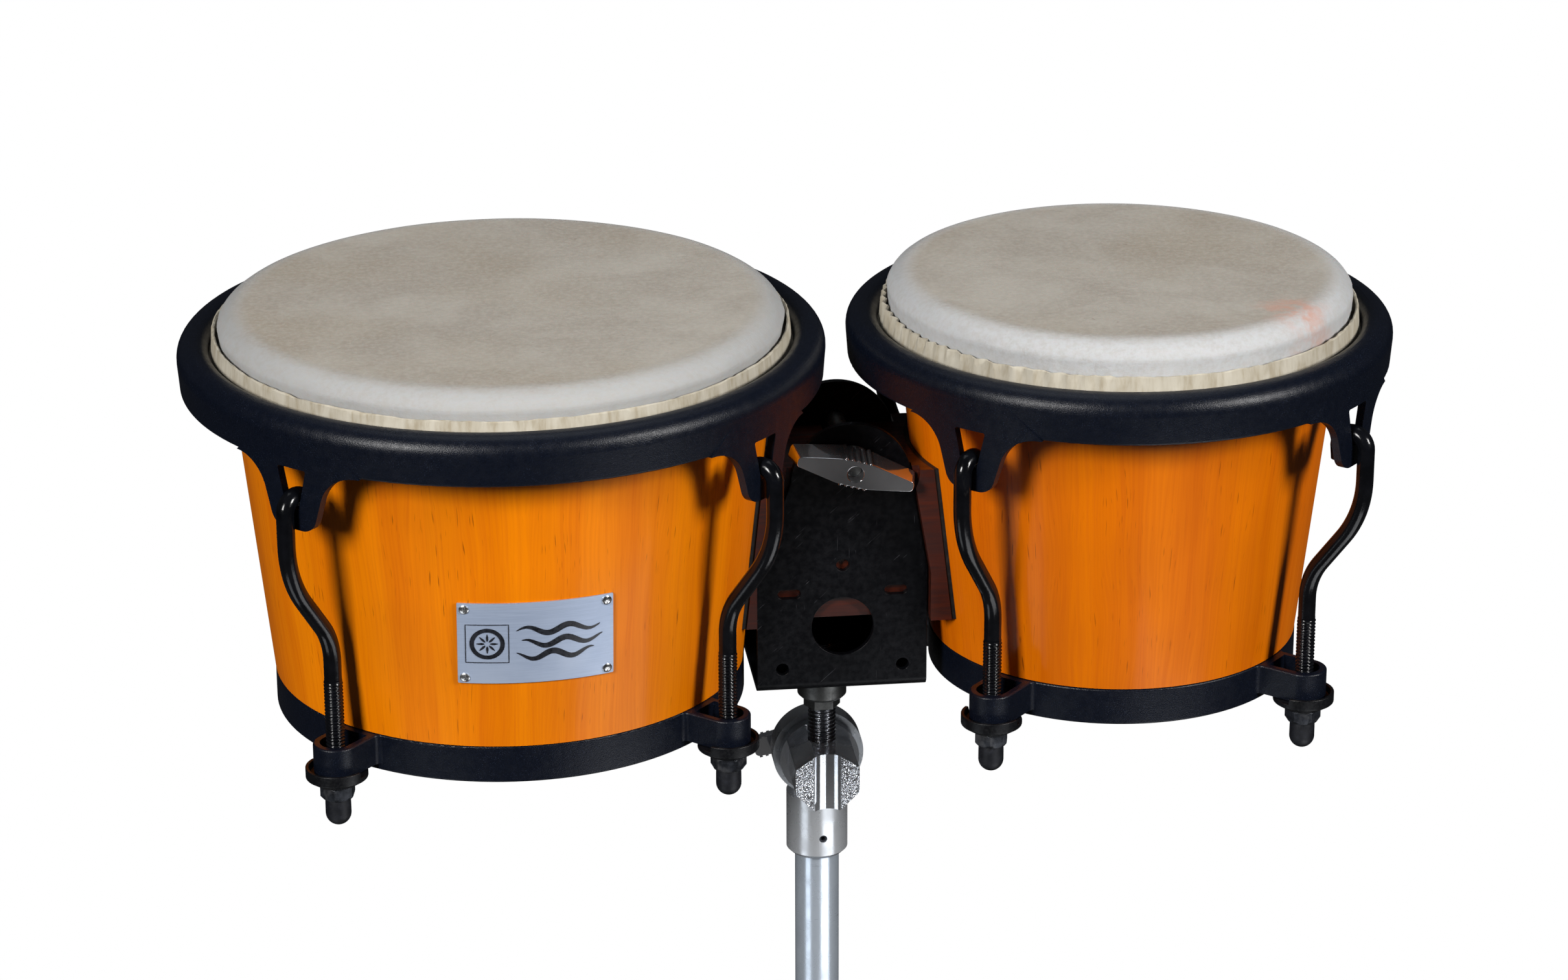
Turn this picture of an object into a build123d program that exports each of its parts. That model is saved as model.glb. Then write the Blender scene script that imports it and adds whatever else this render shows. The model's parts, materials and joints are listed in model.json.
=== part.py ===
from build123d import *
from dataclasses import dataclass
import math
import os

# A pair of bongo drums on the tilter and tube of a stand, in millimetres.
# +Z runs up the stand tube, the drums stand side by side along X and the front is -Y.
# The origin is the centre of the tube's lower end.

# Stand tube, collar and tilter
TUBE_R = 9.525
TUBE_WALL = 1.3
TUBE_SHOULDER = 149.2
SPIGOT_R = 9.125
COLLAR_R = 13.2
COLLAR_BOTTOM = 149.4
COLLAR_TOP = 177.5
COLLAR_CHAMFER = 1.8
BORE_GAP = 0.05
TUBE_TOP = 172.0
PIVOT_Z = 196.5
DISC_R = 19.5
DISC_HALF = 5.0
NECK_HALF = 10.5
SET_SCREW_R = 1.7
SET_SCREW_Z = 159.4
SET_SCREW_TURN = 5.0
LEVER_SCREW_R = 4.0
LEVER_SCREW_GAP = 0.07
LEVER_HUB_R = 7.0
LEVER_ROOT_HALF = 5.5
LEVER_TIP_HALF = 3.8
LEVER_RIDGES = 3
LEVER_REACH = 26.0
LEVER_TURN = 192.0
LEVER_FRONT = 14.4
LEVER_BACK = 19.4

# Rod holder and the threaded rod that carries the drums
ROD_Y = -17.0
HOLDER_FRONT = -37.0
HOLDER_BACK = -5.2
HOLDER_HALF = 13.6
HOLDER_TOP = 12.6
HOLDER_FLAT_HALF = 5.4
HOLDER_SIDE_LOW = 4.5
HOLDER_SIDE_HIGH = 7.0
CHANNEL_R = 7.0
CHANNEL_SINK = 2.6
SWIVEL_ROD_R = 5.95
SWIVEL_ROD_BOTTOM = 188.5
SWIVEL_ROD_RISE = 11.0
LOCK_NUT_FLATS = 18.0
LOCK_NUT_H = 6.5
FLANGE_R = 10.4
FLANGE_H = 13.8
FLANGE_NUT_FLATS = 13.6
FLANGE_NUT_H = 18.2
RUNNING_GAP = 0.05

# U bracket
PLATE_T = 3.0
BRACKET_HALF_Y = 27.5
BRACKET_X = 5.0
BRACKET_HALF_X = 35.6
BRACKET_BOTTOM = 243.0
BRACKET_SHOULDER = 296.0
ARCH_X = 8.7
ARCH_Z = 336.0
ARCH_R = 25.0
BEND_R = 4.0
HOLES_X = 5.2
LARGE_HOLE_R = 12.9
LARGE_HOLE_Z = 271.7
SMALL_HOLE_R = 2.65
TOP_HOLE_Z = 299.0
CORNER_HOLE_X = 25.2
CORNER_HOLE_Z = 253.4
SLOT_X = 22.3
SLOT_Z = 287.0
SLOT_LENGTH = 9.5
SLOT_WIDTH = 4.2
REAR_SLOT_Z = 337.2
REAR_SLOT_LENGTH = 22.5
REAR_SLOT_WIDTH = 8.5

# Clamp bolt and its wing nut
CLAMP_Z = 344.0
CLAMP_R = 3.9
CLAMP_ROOT_R = 3.35
CLAMP_END = 7.0
CLAMP_WASHER_R = 8.0
CLAMP_WASHER_T = 1.5
BOLT_HEAD_FLATS = 13.0
BOLT_HEAD_H = 5.3
WING_TURN = -16.0
WING_DEPTH = 12.0
WING_NARROWING = 2.0
WING_TIP = (26.8, 3.0)
WING_HUB = (7.0, 7.4)
WING_BORE_R = 3.4
WING_ROOM_R = 27.8
WING_RIDGES = 5
WING_RIDGE_STEP = 2.6

# Centre block, its saddles and its bolts
BLOCK_HALF_Y = 24.4
BLOCK_BOTTOM = 275.0
BLOCK_TOP = 342.0
SADDLE_HALF_Y = 34.0
SADDLE_T = 8.0
GASKET_T = 1.8
NOTCH_HALF = 6.0
NOTCH_DEPTH = 9.0
BLOCK_BOLT_R = 3.9
BLOCK_BOLT_LEVELS = (292.0, 322.0)
BLOCK_BOLT_GRIP = 14.0
BLOCK_BOLT_WASHER_R = 9.0
BLOCK_BOLT_WASHER_T = 1.6
SPOT_FACE_R = 11.0
SPOT_FACE_DEPTH = 1.8

# Drums
DRUM_Y = -17.0
WALL = 11.0
SKIN_T = 1.2
FIT_GAP = 0.3
ROLL_R = 10.8
EDGE_INSET = 8.5
HOOP_WIRE_R = 2.75
HOOP_INSET = 2.3
HOOP_DROP = 9.7
LUG_ANGLES = (-42.0, 48.0, 138.0, 228.0)
RING_T = 2.4
RING_ROUND = 0.9

# Counterhoop, measured from its top and its largest radius
RIM_WIDTH = 13.3
RIM_H = 19.9
RIM_T = 3.0
RIM_LEDGE = 6.0
RIM_DRAFT = 0.9
EAR_H = 25.6
EAR_T = 3.4
EAR_HEAD = (17.0, -7.5)
EAR_SHOULDER_HALF = 31.0
EAR_ROOT_HALF = 17.5
EAR_FOOT_HALF = 9.8
WINDOW_BOTTOM = 36.9
WINDOW_TOP_HALF = 7.2
WINDOW_BOTTOM_HALF = 3.2
RIB_TOP = (12.6, 14.6, -14.0)
RIB_BOTTOM = (6.6, 8.4, -40.0)
RIB_PROUD = 0.9

# Tuning rods
SHANK_R = 3.6
THREAD_R = 3.95
HOOK_R = 6.2
HOOK_DEPTH = 38.5
TIP_DEPTH = 44.5
BEND_HIGH = 66.0
BEND_LOW = 99.0
LUG_INSET = 19.5
BEND_HIGH_R = 45.0
BEND_LOW_R = 28.0
LUG_HALF = 9.2
LUG_T = 2.8
LUG_RISE = 3.0
WASHER_R = 12.6
WASHER_T = 4.3
NUT_FLATS = 13.0
NUT_H = 6.5
NUT_R = 7.7
CAP_R = 5.25
CAP_H = 12.2
CAP_BORE_H = 9.4
FOOT_IN_CAP = 9.0
SEAT_GAP = 0.1

# Nameplate
PLATE_TURN = 2.8
PLATE_W = 62.0
PLATE_H = 35.5
PLATE_THICK = 0.8
PLATE_DEPTH = 108.5
PLATE_CORNER_R = 0.5
PLATE_SCREW_INSET = 2.6
PLATE_SCREW_R = 1.9
PLATE_SCREW_H = 1.1


@dataclass
class Drum:
    """One drum: radii are outside sizes and depths run down from the top of the head."""

    name: str
    centre_x: float
    head_z: float
    shell_r: float
    taper: float
    ring_r: float
    ring_top: float
    ring_bottom: float
    rim_r: float
    rim_top: float
    flap_top: float
    thread_top: float

    def radius(self, depth):
        return self.shell_r - self.taper * depth

    @property
    def crest_r(self):
        return self.shell_r - EDGE_INSET

    @property
    def hoop_r(self):
        return self.rim_r - RIM_WIDTH - HOOP_INSET

    @property
    def hoop_depth(self):
        return self.rim_top + HOOP_DROP

    @property
    def lug_r(self):
        return self.rim_r - LUG_INSET

    @property
    def lug_bottom(self):
        return self.ring_bottom - LUG_RISE

    @property
    def nut_top(self):
        return self.lug_bottom + FIT_GAP + WASHER_T + SEAT_GAP


DRUMS = (
    Drum("large", -131.4, 412.0, 113.7, 0.1027, 97.7, 155.6, 171.2, 131.9, 12.3, 9.0, 127.8),
    Drum("small", 123.8, 414.3, 94.5, 0.1100, 77.5, 156.1, 171.6, 113.0, 16.9, 12.6, 133.2),
)


def on_circle(centre, radius, degrees):
    """Point on a circle in a profile, by angle from the outward direction."""
    angle = math.radians(degrees)
    return (centre[0] + radius * math.cos(angle), centre[1] + radius * math.sin(angle))


def outline(start, *steps, plane=Plane.XZ):
    """Closed face: each step is a point for a line, or a pair (through, end) for an arc."""
    edges = []
    here = start
    for step in steps:
        if isinstance(step[0], tuple):
            edges.append(ThreePointArc(here, step[0], step[1]))
            here = step[1]
        else:
            edges.append(Line(here, step))
            here = step
    edges.append(Line(here, start))
    return plane * make_face(edges)


def polygon(*points, plane=Plane.XZ):
    """Closed face with straight sides."""
    return outline(*points, plane=plane)


def rounded(points, radii, plane=Plane.XZ):
    """Closed face with straight sides and one corner radius for each point."""
    return plane * make_face(FilletPolyline(*points, radius=radii, close=True))


def turned(face):
    return revolve(face, Axis.Z)


def cylinder_along_y(radius, x, z, y_from, y_to):
    face = Plane(origin=(x, y_from, z), x_dir=(1, 0, 0), z_dir=(0, 1, 0)) * Circle(radius)
    return extrude(face, y_to - y_from)


def cylinder_along_x(radius, y, z, x_from, x_to):
    face = Plane(origin=(x_from, y, z), x_dir=(0, 1, 0), z_dir=(1, 0, 0)) * Circle(radius)
    return extrude(face, x_to - x_from)


def hexagon_prism(flats, height):
    return extrude(RegularPolygon(flats / 2, 6, major_radius=False), height)


def block_between(low, high):
    """Solid box from its lowest to its highest corner."""
    size = [b - a for a, b in zip(low, high)]
    middle = [(a + b) / 2 for a, b in zip(low, high)]
    return Pos(*middle) * Box(*size)


def place(shape, drum):
    return Pos(drum.centre_x, DRUM_Y, drum.head_z) * shape


def at_lug(shape, angle):
    """Turn a shape made on +X to a lug's angle, counted from the front towards +X."""
    return Rot(0, 0, angle - 90) * shape


def shell_cone(drum, offset, low, high):
    """Solid cone that follows the outside of a shell at a distance, between two levels."""
    r_low = drum.radius(drum.head_z - low) + offset
    r_high = drum.radius(drum.head_z - high) + offset
    return place(turned(polygon(
        (0, low - drum.head_z),
        (r_low, low - drum.head_z),
        (r_high, high - drum.head_z),
        (0, high - drum.head_z),
    )), drum)


def inner_side(drum):
    """+1 where the neighbouring drum is on the +X side, otherwise -1."""
    return 1 if drum.centre_x < 0 else -1


# Drum parts

def make_shell(drum):
    crest_depth = SKIN_T + FIT_GAP
    roll_r = ROLL_R - crest_depth
    roll_centre = (drum.crest_r, -ROLL_R)
    slope = math.atan(drum.taper)
    reach = (EDGE_INSET - drum.taper * ROLL_R) / roll_r * math.cos(slope)
    roll_end = 90 - math.degrees(math.asin(reach) + slope)
    rebate_r = drum.ring_r - RING_T - FIT_GAP
    shoulder = drum.ring_top - FIT_GAP
    bottom = drum.ring_bottom - 0.8
    face = outline(
        (drum.crest_r, -crest_depth),
        (
            on_circle(roll_centre, roll_r, (90 + roll_end) / 2),
            on_circle(roll_centre, roll_r, roll_end),
        ),
        (drum.radius(shoulder), -shoulder),
        (rebate_r, -shoulder),
        (rebate_r, -bottom),
        (drum.radius(bottom) - WALL, -bottom),
        (drum.radius(5.0) - WALL, -5.0),
    )
    shell = place(turned(face), drum)
    side = inner_side(drum)
    for level in BLOCK_BOLT_LEVELS:
        wall_x = drum.centre_x + side * drum.radius(drum.head_z - level)
        inside_x = wall_x - side * WALL
        seat_x = inside_x + side * SPOT_FACE_DEPTH
        shell -= cylinder_along_x(BLOCK_BOLT_R + FIT_GAP, DRUM_Y, level, inside_x, wall_x + side * 5)
        shell -= cylinder_along_x(SPOT_FACE_R, DRUM_Y, level, inside_x - side * 10, seat_x)
    return shell


def make_skin(drum):
    roll_centre = (drum.crest_r, -ROLL_R)
    hoop = (drum.hoop_r, -drum.hoop_depth)
    wrap_in = HOOP_WIRE_R + 0.1
    wrap_out = wrap_in + SKIN_T - 0.05
    flap_r = drum.rim_r - RIM_WIDTH - 1.2
    face = outline(
        (0, 0),
        (drum.crest_r, 0),
        (on_circle(roll_centre, ROLL_R, 55), on_circle(roll_centre, ROLL_R, 20)),
        (hoop[0] - wrap_in, hoop[1]),
        ((hoop[0], hoop[1] - wrap_in), (hoop[0] + wrap_in, hoop[1])),
        (on_circle(hoop, wrap_in, 38), on_circle(hoop, wrap_in, 75)),
        (flap_r - SKIN_T + 0.05, -drum.flap_top),
        (flap_r, -drum.flap_top),
        on_circle(hoop, wrap_out, 62),
        (on_circle(hoop, wrap_out, 30), (hoop[0] + wrap_out, hoop[1])),
        ((hoop[0], hoop[1] - wrap_out), (hoop[0] - wrap_out, hoop[1])),
        on_circle(roll_centre, ROLL_R - SKIN_T, 20),
        (
            on_circle(roll_centre, ROLL_R - SKIN_T, 55),
            (drum.crest_r, -SKIN_T),
        ),
        (0, -SKIN_T),
    )
    return place(turned(face), drum)


def make_flesh_hoop(drum):
    ring = Torus(drum.hoop_r, HOOP_WIRE_R - 0.05)
    return place(Pos(0, 0, -drum.hoop_depth) * ring, drum)


def make_ear(rim_r):
    """Ear on the +X side of a counterhoop: pierced tab with a raised rib on each leg."""
    root = -RIM_H
    foot = root - EAR_H
    right = [EAR_HEAD, (EAR_SHOULDER_HALF, root), (EAR_ROOT_HALF, root), (EAR_FOOT_HALF, foot)]
    left = [(-x, z) for x, z in right]
    tab = rounded(left + right[::-1], [0, 0, 16, 7, 7, 16, 0, 0], plane=Plane.YZ)
    window = rounded(
        [
            (-WINDOW_TOP_HALF, root - FIT_GAP), (-WINDOW_BOTTOM_HALF, -WINDOW_BOTTOM),
            (WINDOW_BOTTOM_HALF, -WINDOW_BOTTOM), (WINDOW_TOP_HALF, root - FIT_GAP),
        ],
        [0.8, 0.8, 0.8, 0.8],
        plane=Plane.YZ,
    )
    reach = rim_r + 10
    outer = rim_r - 0.1
    ring = turned(polygon(
        (outer - EAR_T, foot - 5), (outer, foot - 5), (outer, 0), (outer - EAR_T, 0)
    ))
    ear = (extrude(tab, reach) - extrude(window, reach)) & ring
    rib_ring = turned(polygon(
        (outer - 1, foot - 5), (outer + RIB_PROUD, foot - 5), (outer + RIB_PROUD, 0), (outer - 1, 0)
    ))
    for side in (-1, 1):
        rib = rounded(
            [
                (side * RIB_TOP[1], RIB_TOP[2]), (side * RIB_TOP[0], RIB_TOP[2]),
                (side * RIB_BOTTOM[0], RIB_BOTTOM[2]), (side * RIB_BOTTOM[1], RIB_BOTTOM[2]),
            ],
            [1, 1, 0.8, 0.8],
            plane=Plane.YZ,
        )
        ear += extrude(rib, reach) & rib_ring
    return ear


def make_counterhoop(drum):
    r = drum.rim_r
    lip = r - RIM_WIDTH
    inside = r - RIM_T
    profile = rounded(
        [
            (lip, -RIM_LEDGE), (lip, 0), (r, 0), (r, -8), (r - RIM_DRAFT, -RIM_H),
            (inside - RIM_DRAFT, -RIM_H), (inside, -8), (inside, -RIM_T),
            (lip + RIM_T, -RIM_T), (lip + RIM_T, -RIM_LEDGE),
        ],
        [0.6, 5.4, 7.2, 4, 1.2, 0.6, 3, 4.2, 2.4, 0.6],
    )
    rim = turned(profile)
    ear = make_ear(r)
    for angle in LUG_ANGLES:
        rim += at_lug(ear, angle)
    return place(Pos(0, 0, -drum.rim_top) * rim, drum)


def make_bottom_ring(drum):
    """Band with rounded outer edges and four loops, open inside, that carry the rods."""
    height = drum.ring_bottom - drum.ring_top
    length = drum.lug_r - drum.ring_r + 1
    middle = drum.lug_r - length / 2
    eye_half = LUG_HALF - LUG_T
    loop = Pos(middle, 0) * Rectangle(length, 2 * LUG_HALF) + Pos(drum.lug_r, 0) * Circle(LUG_HALF)
    eye = Pos(middle + 2, 0) * Rectangle(length - 4, 2 * eye_half) + Pos(drum.lug_r, 0) * Circle(eye_half)
    flat = Circle(drum.ring_r) + [Rot(0, 0, angle - 90) * loop for angle in LUG_ANGLES]
    corners = [v for v in flat.vertices() if math.hypot(v.X, v.Y) < drum.ring_r + 2]
    flat = fillet(corners, 2.5) - Circle(drum.ring_r - RING_T)
    flat -= [Rot(0, 0, angle - 90) * eye for angle in LUG_ANGLES]
    skirt = extrude(Circle(drum.ring_r) - Circle(drum.ring_r - RING_T), LUG_RISE)
    ring = skirt + Pos(0, 0, LUG_RISE) * extrude(flat, height - LUG_RISE)
    layers = ring.faces().filter_by(Axis.Z).sort_by(Axis.Z)
    rims = layers[0].outer_wire().edges() + layers[-1].outer_wire().edges()
    ring = fillet(rims, RING_ROUND)
    return place(Pos(0, 0, -drum.ring_bottom) * ring, drum)


def make_rod(drum, angle):
    """Hooked tuning rod: hook over the ear, double bend inward, rolled thread at the foot."""
    outer = drum.rim_r - 0.1 - EAR_T / 2 + HOOK_R
    inner = outer - 2 * HOOK_R
    top = drum.rim_top
    hook = top + HOOK_DEPTH
    foot = drum.nut_top + NUT_H + FOOT_IN_CAP
    path = Wire([
        *Line((inner, -top - TIP_DEPTH), (inner, -hook)).edges(),
        *ThreePointArc((inner, -hook), (outer - HOOK_R, -hook + HOOK_R), (outer, -hook)).edges(),
        *FilletPolyline(
            (outer, -hook),
            (outer, -top - BEND_HIGH),
            (drum.lug_r, -top - BEND_LOW),
            (drum.lug_r, -drum.thread_top),
            radius=[BEND_HIGH_R, BEND_LOW_R],
        ).edges(),
    ])
    path = Plane.XZ * path
    section = Plane(origin=(inner, 0, -top - TIP_DEPTH), z_dir=(0, 0, 1)) * Circle(SHANK_R)
    shank = sweep(section, path)
    thread = Pos(drum.lug_r, 0, -foot) * extrude(Circle(THREAD_R), foot - drum.thread_top)
    thread = chamfer(thread.edges().sort_by(Axis.Z)[0], 0.6)
    return place(at_lug(shank + thread, angle), drum)


def make_washer(drum):
    """Saddle washer on +X: thick disc with a lip round the outer half of the lug."""
    disc = turned(outline(
        (THREAD_R + 0.5, -FIT_GAP),
        (WASHER_R, -FIT_GAP),
        (WASHER_R, -2.2),
        (9.0, -FIT_GAP - WASHER_T),
        (THREAD_R + 0.5, -FIT_GAP - WASHER_T),
    ))
    lip = turned(polygon((10.5, -0.4), (WASHER_R, -0.4), (WASHER_R, 2.2), (11.2, 2.2)))
    lip &= block_between((0, -20, -5), (20, 20, 5))
    return Pos(drum.lug_r, 0, -drum.lug_bottom) * (disc + lip)


def make_washers(drum):
    washer = make_washer(drum)
    return [place(at_lug(washer, angle), drum) for angle in LUG_ANGLES]


def make_nut(drum, angle):
    nut = hexagon_prism(NUT_FLATS, NUT_H) - extrude(Circle(THREAD_R + RUNNING_GAP), NUT_H)
    nut &= chamfer(Solid.make_cylinder(NUT_R, NUT_H).edges().filter_by(GeomType.CIRCLE), 0.8)
    return place(at_lug(Pos(drum.lug_r, 0, -drum.nut_top - NUT_H) * nut, angle), drum)


def make_cap(drum, angle):
    """Rubber cap pushed over the foot of a rod, with a blind bore and a round end."""
    top = drum.nut_top + NUT_H
    bore = THREAD_R + RUNNING_GAP
    cap = turned(outline(
        (bore, 0),
        (CAP_R - 0.8, 0),
        (CAP_R - 0.3, -0.8),
        (CAP_R, CAP_R - CAP_H),
        (on_circle((0, CAP_R - CAP_H), CAP_R, -45), (0, -CAP_H)),
        (0, -CAP_BORE_H),
        (bore, -CAP_BORE_H),
    ))
    return place(at_lug(Pos(drum.lug_r, 0, -top) * cap, angle), drum)


# Nameplate on the large shell

def nameplate_band(offset, thick):
    drum = DRUMS[0]
    low = drum.head_z - PLATE_DEPTH - PLATE_H
    high = drum.head_z - PLATE_DEPTH + PLATE_H
    return shell_cone(drum, offset + thick, low, high) - shell_cone(drum, offset, low - 1, high + 1)


def plate_frame():
    """Plane tangent to the large shell where the nameplate is centred, facing outwards."""
    drum = DRUMS[0]
    angle = math.radians(PLATE_TURN)
    outward = (math.sin(angle), -math.cos(angle), 0)
    along = (math.cos(angle), math.sin(angle), 0)
    centre = (drum.centre_x, DRUM_Y, drum.head_z - PLATE_DEPTH)
    return Plane(origin=centre, x_dir=along, z_dir=outward)


def make_nameplate():
    face = plate_frame() * RectangleRounded(PLATE_W, PLATE_H, PLATE_CORNER_R)
    return extrude(face, 140) & nameplate_band(0.1, PLATE_THICK)


def make_nameplate_screws():
    across = PLATE_W / 2 - PLATE_SCREW_INSET
    up = PLATE_H / 2 - PLATE_SCREW_INSET
    screws = []
    for side in (-1, 1):
        for level in (-1, 1):
            spot = Pos(side * across, level * up) * Circle(PLATE_SCREW_R)
            head = extrude(plate_frame() * spot, 140)
            screws.append(head & nameplate_band(0.12 + PLATE_THICK, PLATE_SCREW_H))
    return screws


# Centre block

def bracket_outline(grow):
    """Front view of a bracket plate, grown by a margin."""
    half = BRACKET_HALF_X + grow
    arch = ARCH_R + grow
    return outline(
        (BRACKET_X - half, BRACKET_BOTTOM - grow),
        (BRACKET_X + half, BRACKET_BOTTOM - grow),
        (BRACKET_X + half, BRACKET_SHOULDER),
        (ARCH_X + arch, ARCH_Z),
        ((ARCH_X, ARCH_Z + arch), (ARCH_X - arch, ARCH_Z)),
        (BRACKET_X - half, BRACKET_SHOULDER),
    )


def saddle(drum, gap, thick, half_y):
    """Slab that follows a shell on the side of its neighbour."""
    slab = shell_cone(drum, gap + thick, BLOCK_BOTTOM, BLOCK_TOP)
    slab -= shell_cone(drum, gap, BLOCK_BOTTOM - 1, BLOCK_TOP + 1)
    side = inner_side(drum)
    near = drum.centre_x + side * 60
    far = drum.centre_x + side * 140
    keep = block_between(
        (min(near, far), DRUM_Y - half_y, BLOCK_BOTTOM), (max(near, far), DRUM_Y + half_y, BLOCK_TOP)
    )
    return slab & keep


def make_centre_block():
    gap = GASKET_T + 0.2
    block = block_between(
        (-80, DRUM_Y - BLOCK_HALF_Y, BLOCK_BOTTOM), (80, DRUM_Y + BLOCK_HALF_Y, BLOCK_TOP)
    )
    for drum in DRUMS:
        block -= shell_cone(drum, gap, BLOCK_BOTTOM - 1, BLOCK_TOP + 1)
    block += [saddle(drum, gap, SADDLE_T, SADDLE_HALF_Y) for drum in DRUMS]
    plates = Pos(0, DRUM_Y + 60, 0) * extrude(bracket_outline(0.6), 120)
    slot = block_between((-90, DRUM_Y - BLOCK_HALF_Y, 200), (90, DRUM_Y + BLOCK_HALF_Y, 400))
    block -= plates - slot
    block -= block_between(
        (ARCH_X - NOTCH_HALF, -80, BLOCK_TOP - NOTCH_DEPTH), (ARCH_X + NOTCH_HALF, 50, BLOCK_TOP + 5)
    )
    for drum in DRUMS:
        side = inner_side(drum)
        for level in BLOCK_BOLT_LEVELS:
            wall_x = drum.centre_x + side * drum.radius(drum.head_z - level)
            block -= cylinder_along_x(
                BLOCK_BOLT_R + 0.1, DRUM_Y, level, wall_x - side, wall_x + side * (BLOCK_BOLT_GRIP + 4)
            )
    wing_back = DRUM_Y - BRACKET_HALF_Y - CLAMP_WASHER_T
    block -= cylinder_along_y(WING_ROOM_R, ARCH_X, CLAMP_Z, wing_back - 40, wing_back + 0.5)
    return block.solids()


def make_gaskets():
    pads = []
    for drum in DRUMS:
        pad = saddle(drum, 0.1, GASKET_T, SADDLE_HALF_Y - 0.6)
        side = inner_side(drum)
        for level in BLOCK_BOLT_LEVELS:
            wall_x = drum.centre_x + side * drum.radius(drum.head_z - level)
            pad -= cylinder_along_x(BLOCK_BOLT_R + 0.3, DRUM_Y, level, wall_x - side * 5, wall_x + side * 9)
        pads.append(pad)
    return pads


def bolt_seats():
    """Seat of each block bolt: its direction, the spot face's x and its level."""
    for drum in DRUMS:
        side = inner_side(drum)
        for level in BLOCK_BOLT_LEVELS:
            wall_x = drum.centre_x + side * drum.radius(drum.head_z - level)
            yield side, wall_x - side * (WALL - SPOT_FACE_DEPTH), level


def make_block_bolts():
    bolts = []
    for side, seat, level in bolt_seats():
        under_head = seat - side * (BLOCK_BOLT_WASHER_T + 0.05)
        shank = cylinder_along_x(
            BLOCK_BOLT_R, DRUM_Y, level, under_head, seat + side * (WALL + BLOCK_BOLT_GRIP)
        )
        plane = Plane(origin=(under_head, DRUM_Y, level), x_dir=(0, 1, 0), z_dir=(-side, 0, 0))
        head = extrude(plane * RegularPolygon(BOLT_HEAD_FLATS / 2, 6, major_radius=False), BOLT_HEAD_H)
        bolts.append(shank + head)
    return bolts


def make_block_washers():
    washers = []
    for side, seat, level in bolt_seats():
        start = seat - side * 0.02
        end = start - side * BLOCK_BOLT_WASHER_T
        washer = cylinder_along_x(BLOCK_BOLT_WASHER_R, DRUM_Y, level, start, end)
        washer -= cylinder_along_x(BLOCK_BOLT_R + 0.2, DRUM_Y, level, start + side, end - side)
        washers.append(washer)
    return washers


# Bracket and its clamp

def make_u_bracket():
    back = DRUM_Y + BRACKET_HALF_Y
    front = DRUM_Y - BRACKET_HALF_Y
    top = ARCH_Z + ARCH_R + 1
    channel = rounded(
        [
            (front, top), (front, BRACKET_BOTTOM), (back, BRACKET_BOTTOM), (back, top),
            (back - PLATE_T, top), (back - PLATE_T, BRACKET_BOTTOM + PLATE_T),
            (front + PLATE_T, BRACKET_BOTTOM + PLATE_T), (front + PLATE_T, top),
        ],
        [0, BEND_R, BEND_R, 0, 0, BEND_R - PLATE_T, BEND_R - PLATE_T, 0],
        plane=Plane.YZ,
    )
    bracket = Pos(-100, 0, 0) * extrude(channel, 200)
    bracket &= Pos(0, DRUM_Y + 60, 0) * extrude(bracket_outline(0), 120)
    rod_hole = Pos(0, ROD_Y, BRACKET_BOTTOM - 5) * extrude(Circle(SWIVEL_ROD_R + FIT_GAP), PLATE_T + 10)
    bracket -= rod_hole

    def pierce(radius, x, level):
        return cylinder_along_y(radius, x, level, front - 5, front + PLATE_T + 5)

    bracket -= pierce(LARGE_HOLE_R, HOLES_X, LARGE_HOLE_Z)
    bracket -= pierce(SMALL_HOLE_R, HOLES_X, TOP_HOLE_Z)
    bracket -= pierce(CLAMP_R + 0.4, ARCH_X, CLAMP_Z)
    for side in (-1, 1):
        bracket -= pierce(SMALL_HOLE_R, HOLES_X + side * CORNER_HOLE_X, CORNER_HOLE_Z)
        slot_plane = Plane(
            origin=(HOLES_X + side * SLOT_X, front - 5, SLOT_Z), x_dir=(1, 0, 0), z_dir=(0, 1, 0)
        )
        bracket -= extrude(slot_plane * SlotOverall(SLOT_LENGTH, SLOT_WIDTH), PLATE_T + 10)
    rear_plane = Plane(
        origin=(ARCH_X, back - PLATE_T - 5, REAR_SLOT_Z), x_dir=(0, 0, 1), z_dir=(0, 1, 0)
    )
    bracket -= extrude(rear_plane * SlotOverall(REAR_SLOT_LENGTH, REAR_SLOT_WIDTH), PLATE_T + 10)
    return bracket


def make_clamp_bolt():
    back = DRUM_Y + BRACKET_HALF_Y + 0.1
    front = DRUM_Y - BRACKET_HALF_Y
    bolt = cylinder_along_y(CLAMP_R, ARCH_X, CLAMP_Z, front - CLAMP_WASHER_T + 0.1, back)
    bolt += cylinder_along_y(CLAMP_ROOT_R, ARCH_X, CLAMP_Z, front - CLAMP_END, front)
    head_plane = Plane(origin=(ARCH_X, back, CLAMP_Z), x_dir=(1, 0, 0), z_dir=(0, 1, 0))
    head = head_plane * RegularPolygon(BOLT_HEAD_FLATS / 2, 6, major_radius=False)
    return bolt + extrude(head, BOLT_HEAD_H)


def make_clamp_washer():
    front = DRUM_Y - BRACKET_HALF_Y
    washer = cylinder_along_y(CLAMP_WASHER_R, ARCH_X, CLAMP_Z, front - CLAMP_WASHER_T, front - 0.02)
    return washer - cylinder_along_y(CLAMP_R + 0.2, ARCH_X, CLAMP_Z, front - 5, front + 5)


def wing_outline(inset):
    """Front view of the wing nut, narrowed all round by an inset."""
    tip = (WING_TIP[0] - inset, WING_TIP[1] - inset / 2)
    hub = (WING_HUB[0] - inset / 4, WING_HUB[1] - inset)
    half = [tip, hub, (-hub[0], hub[1]), (-tip[0], tip[1])]
    points = half + [(-x, -z) for x, z in half]
    return make_face(FilletPolyline(*points, radius=[1.8, 12, 12, 1.8] * 2, close=True))


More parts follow.
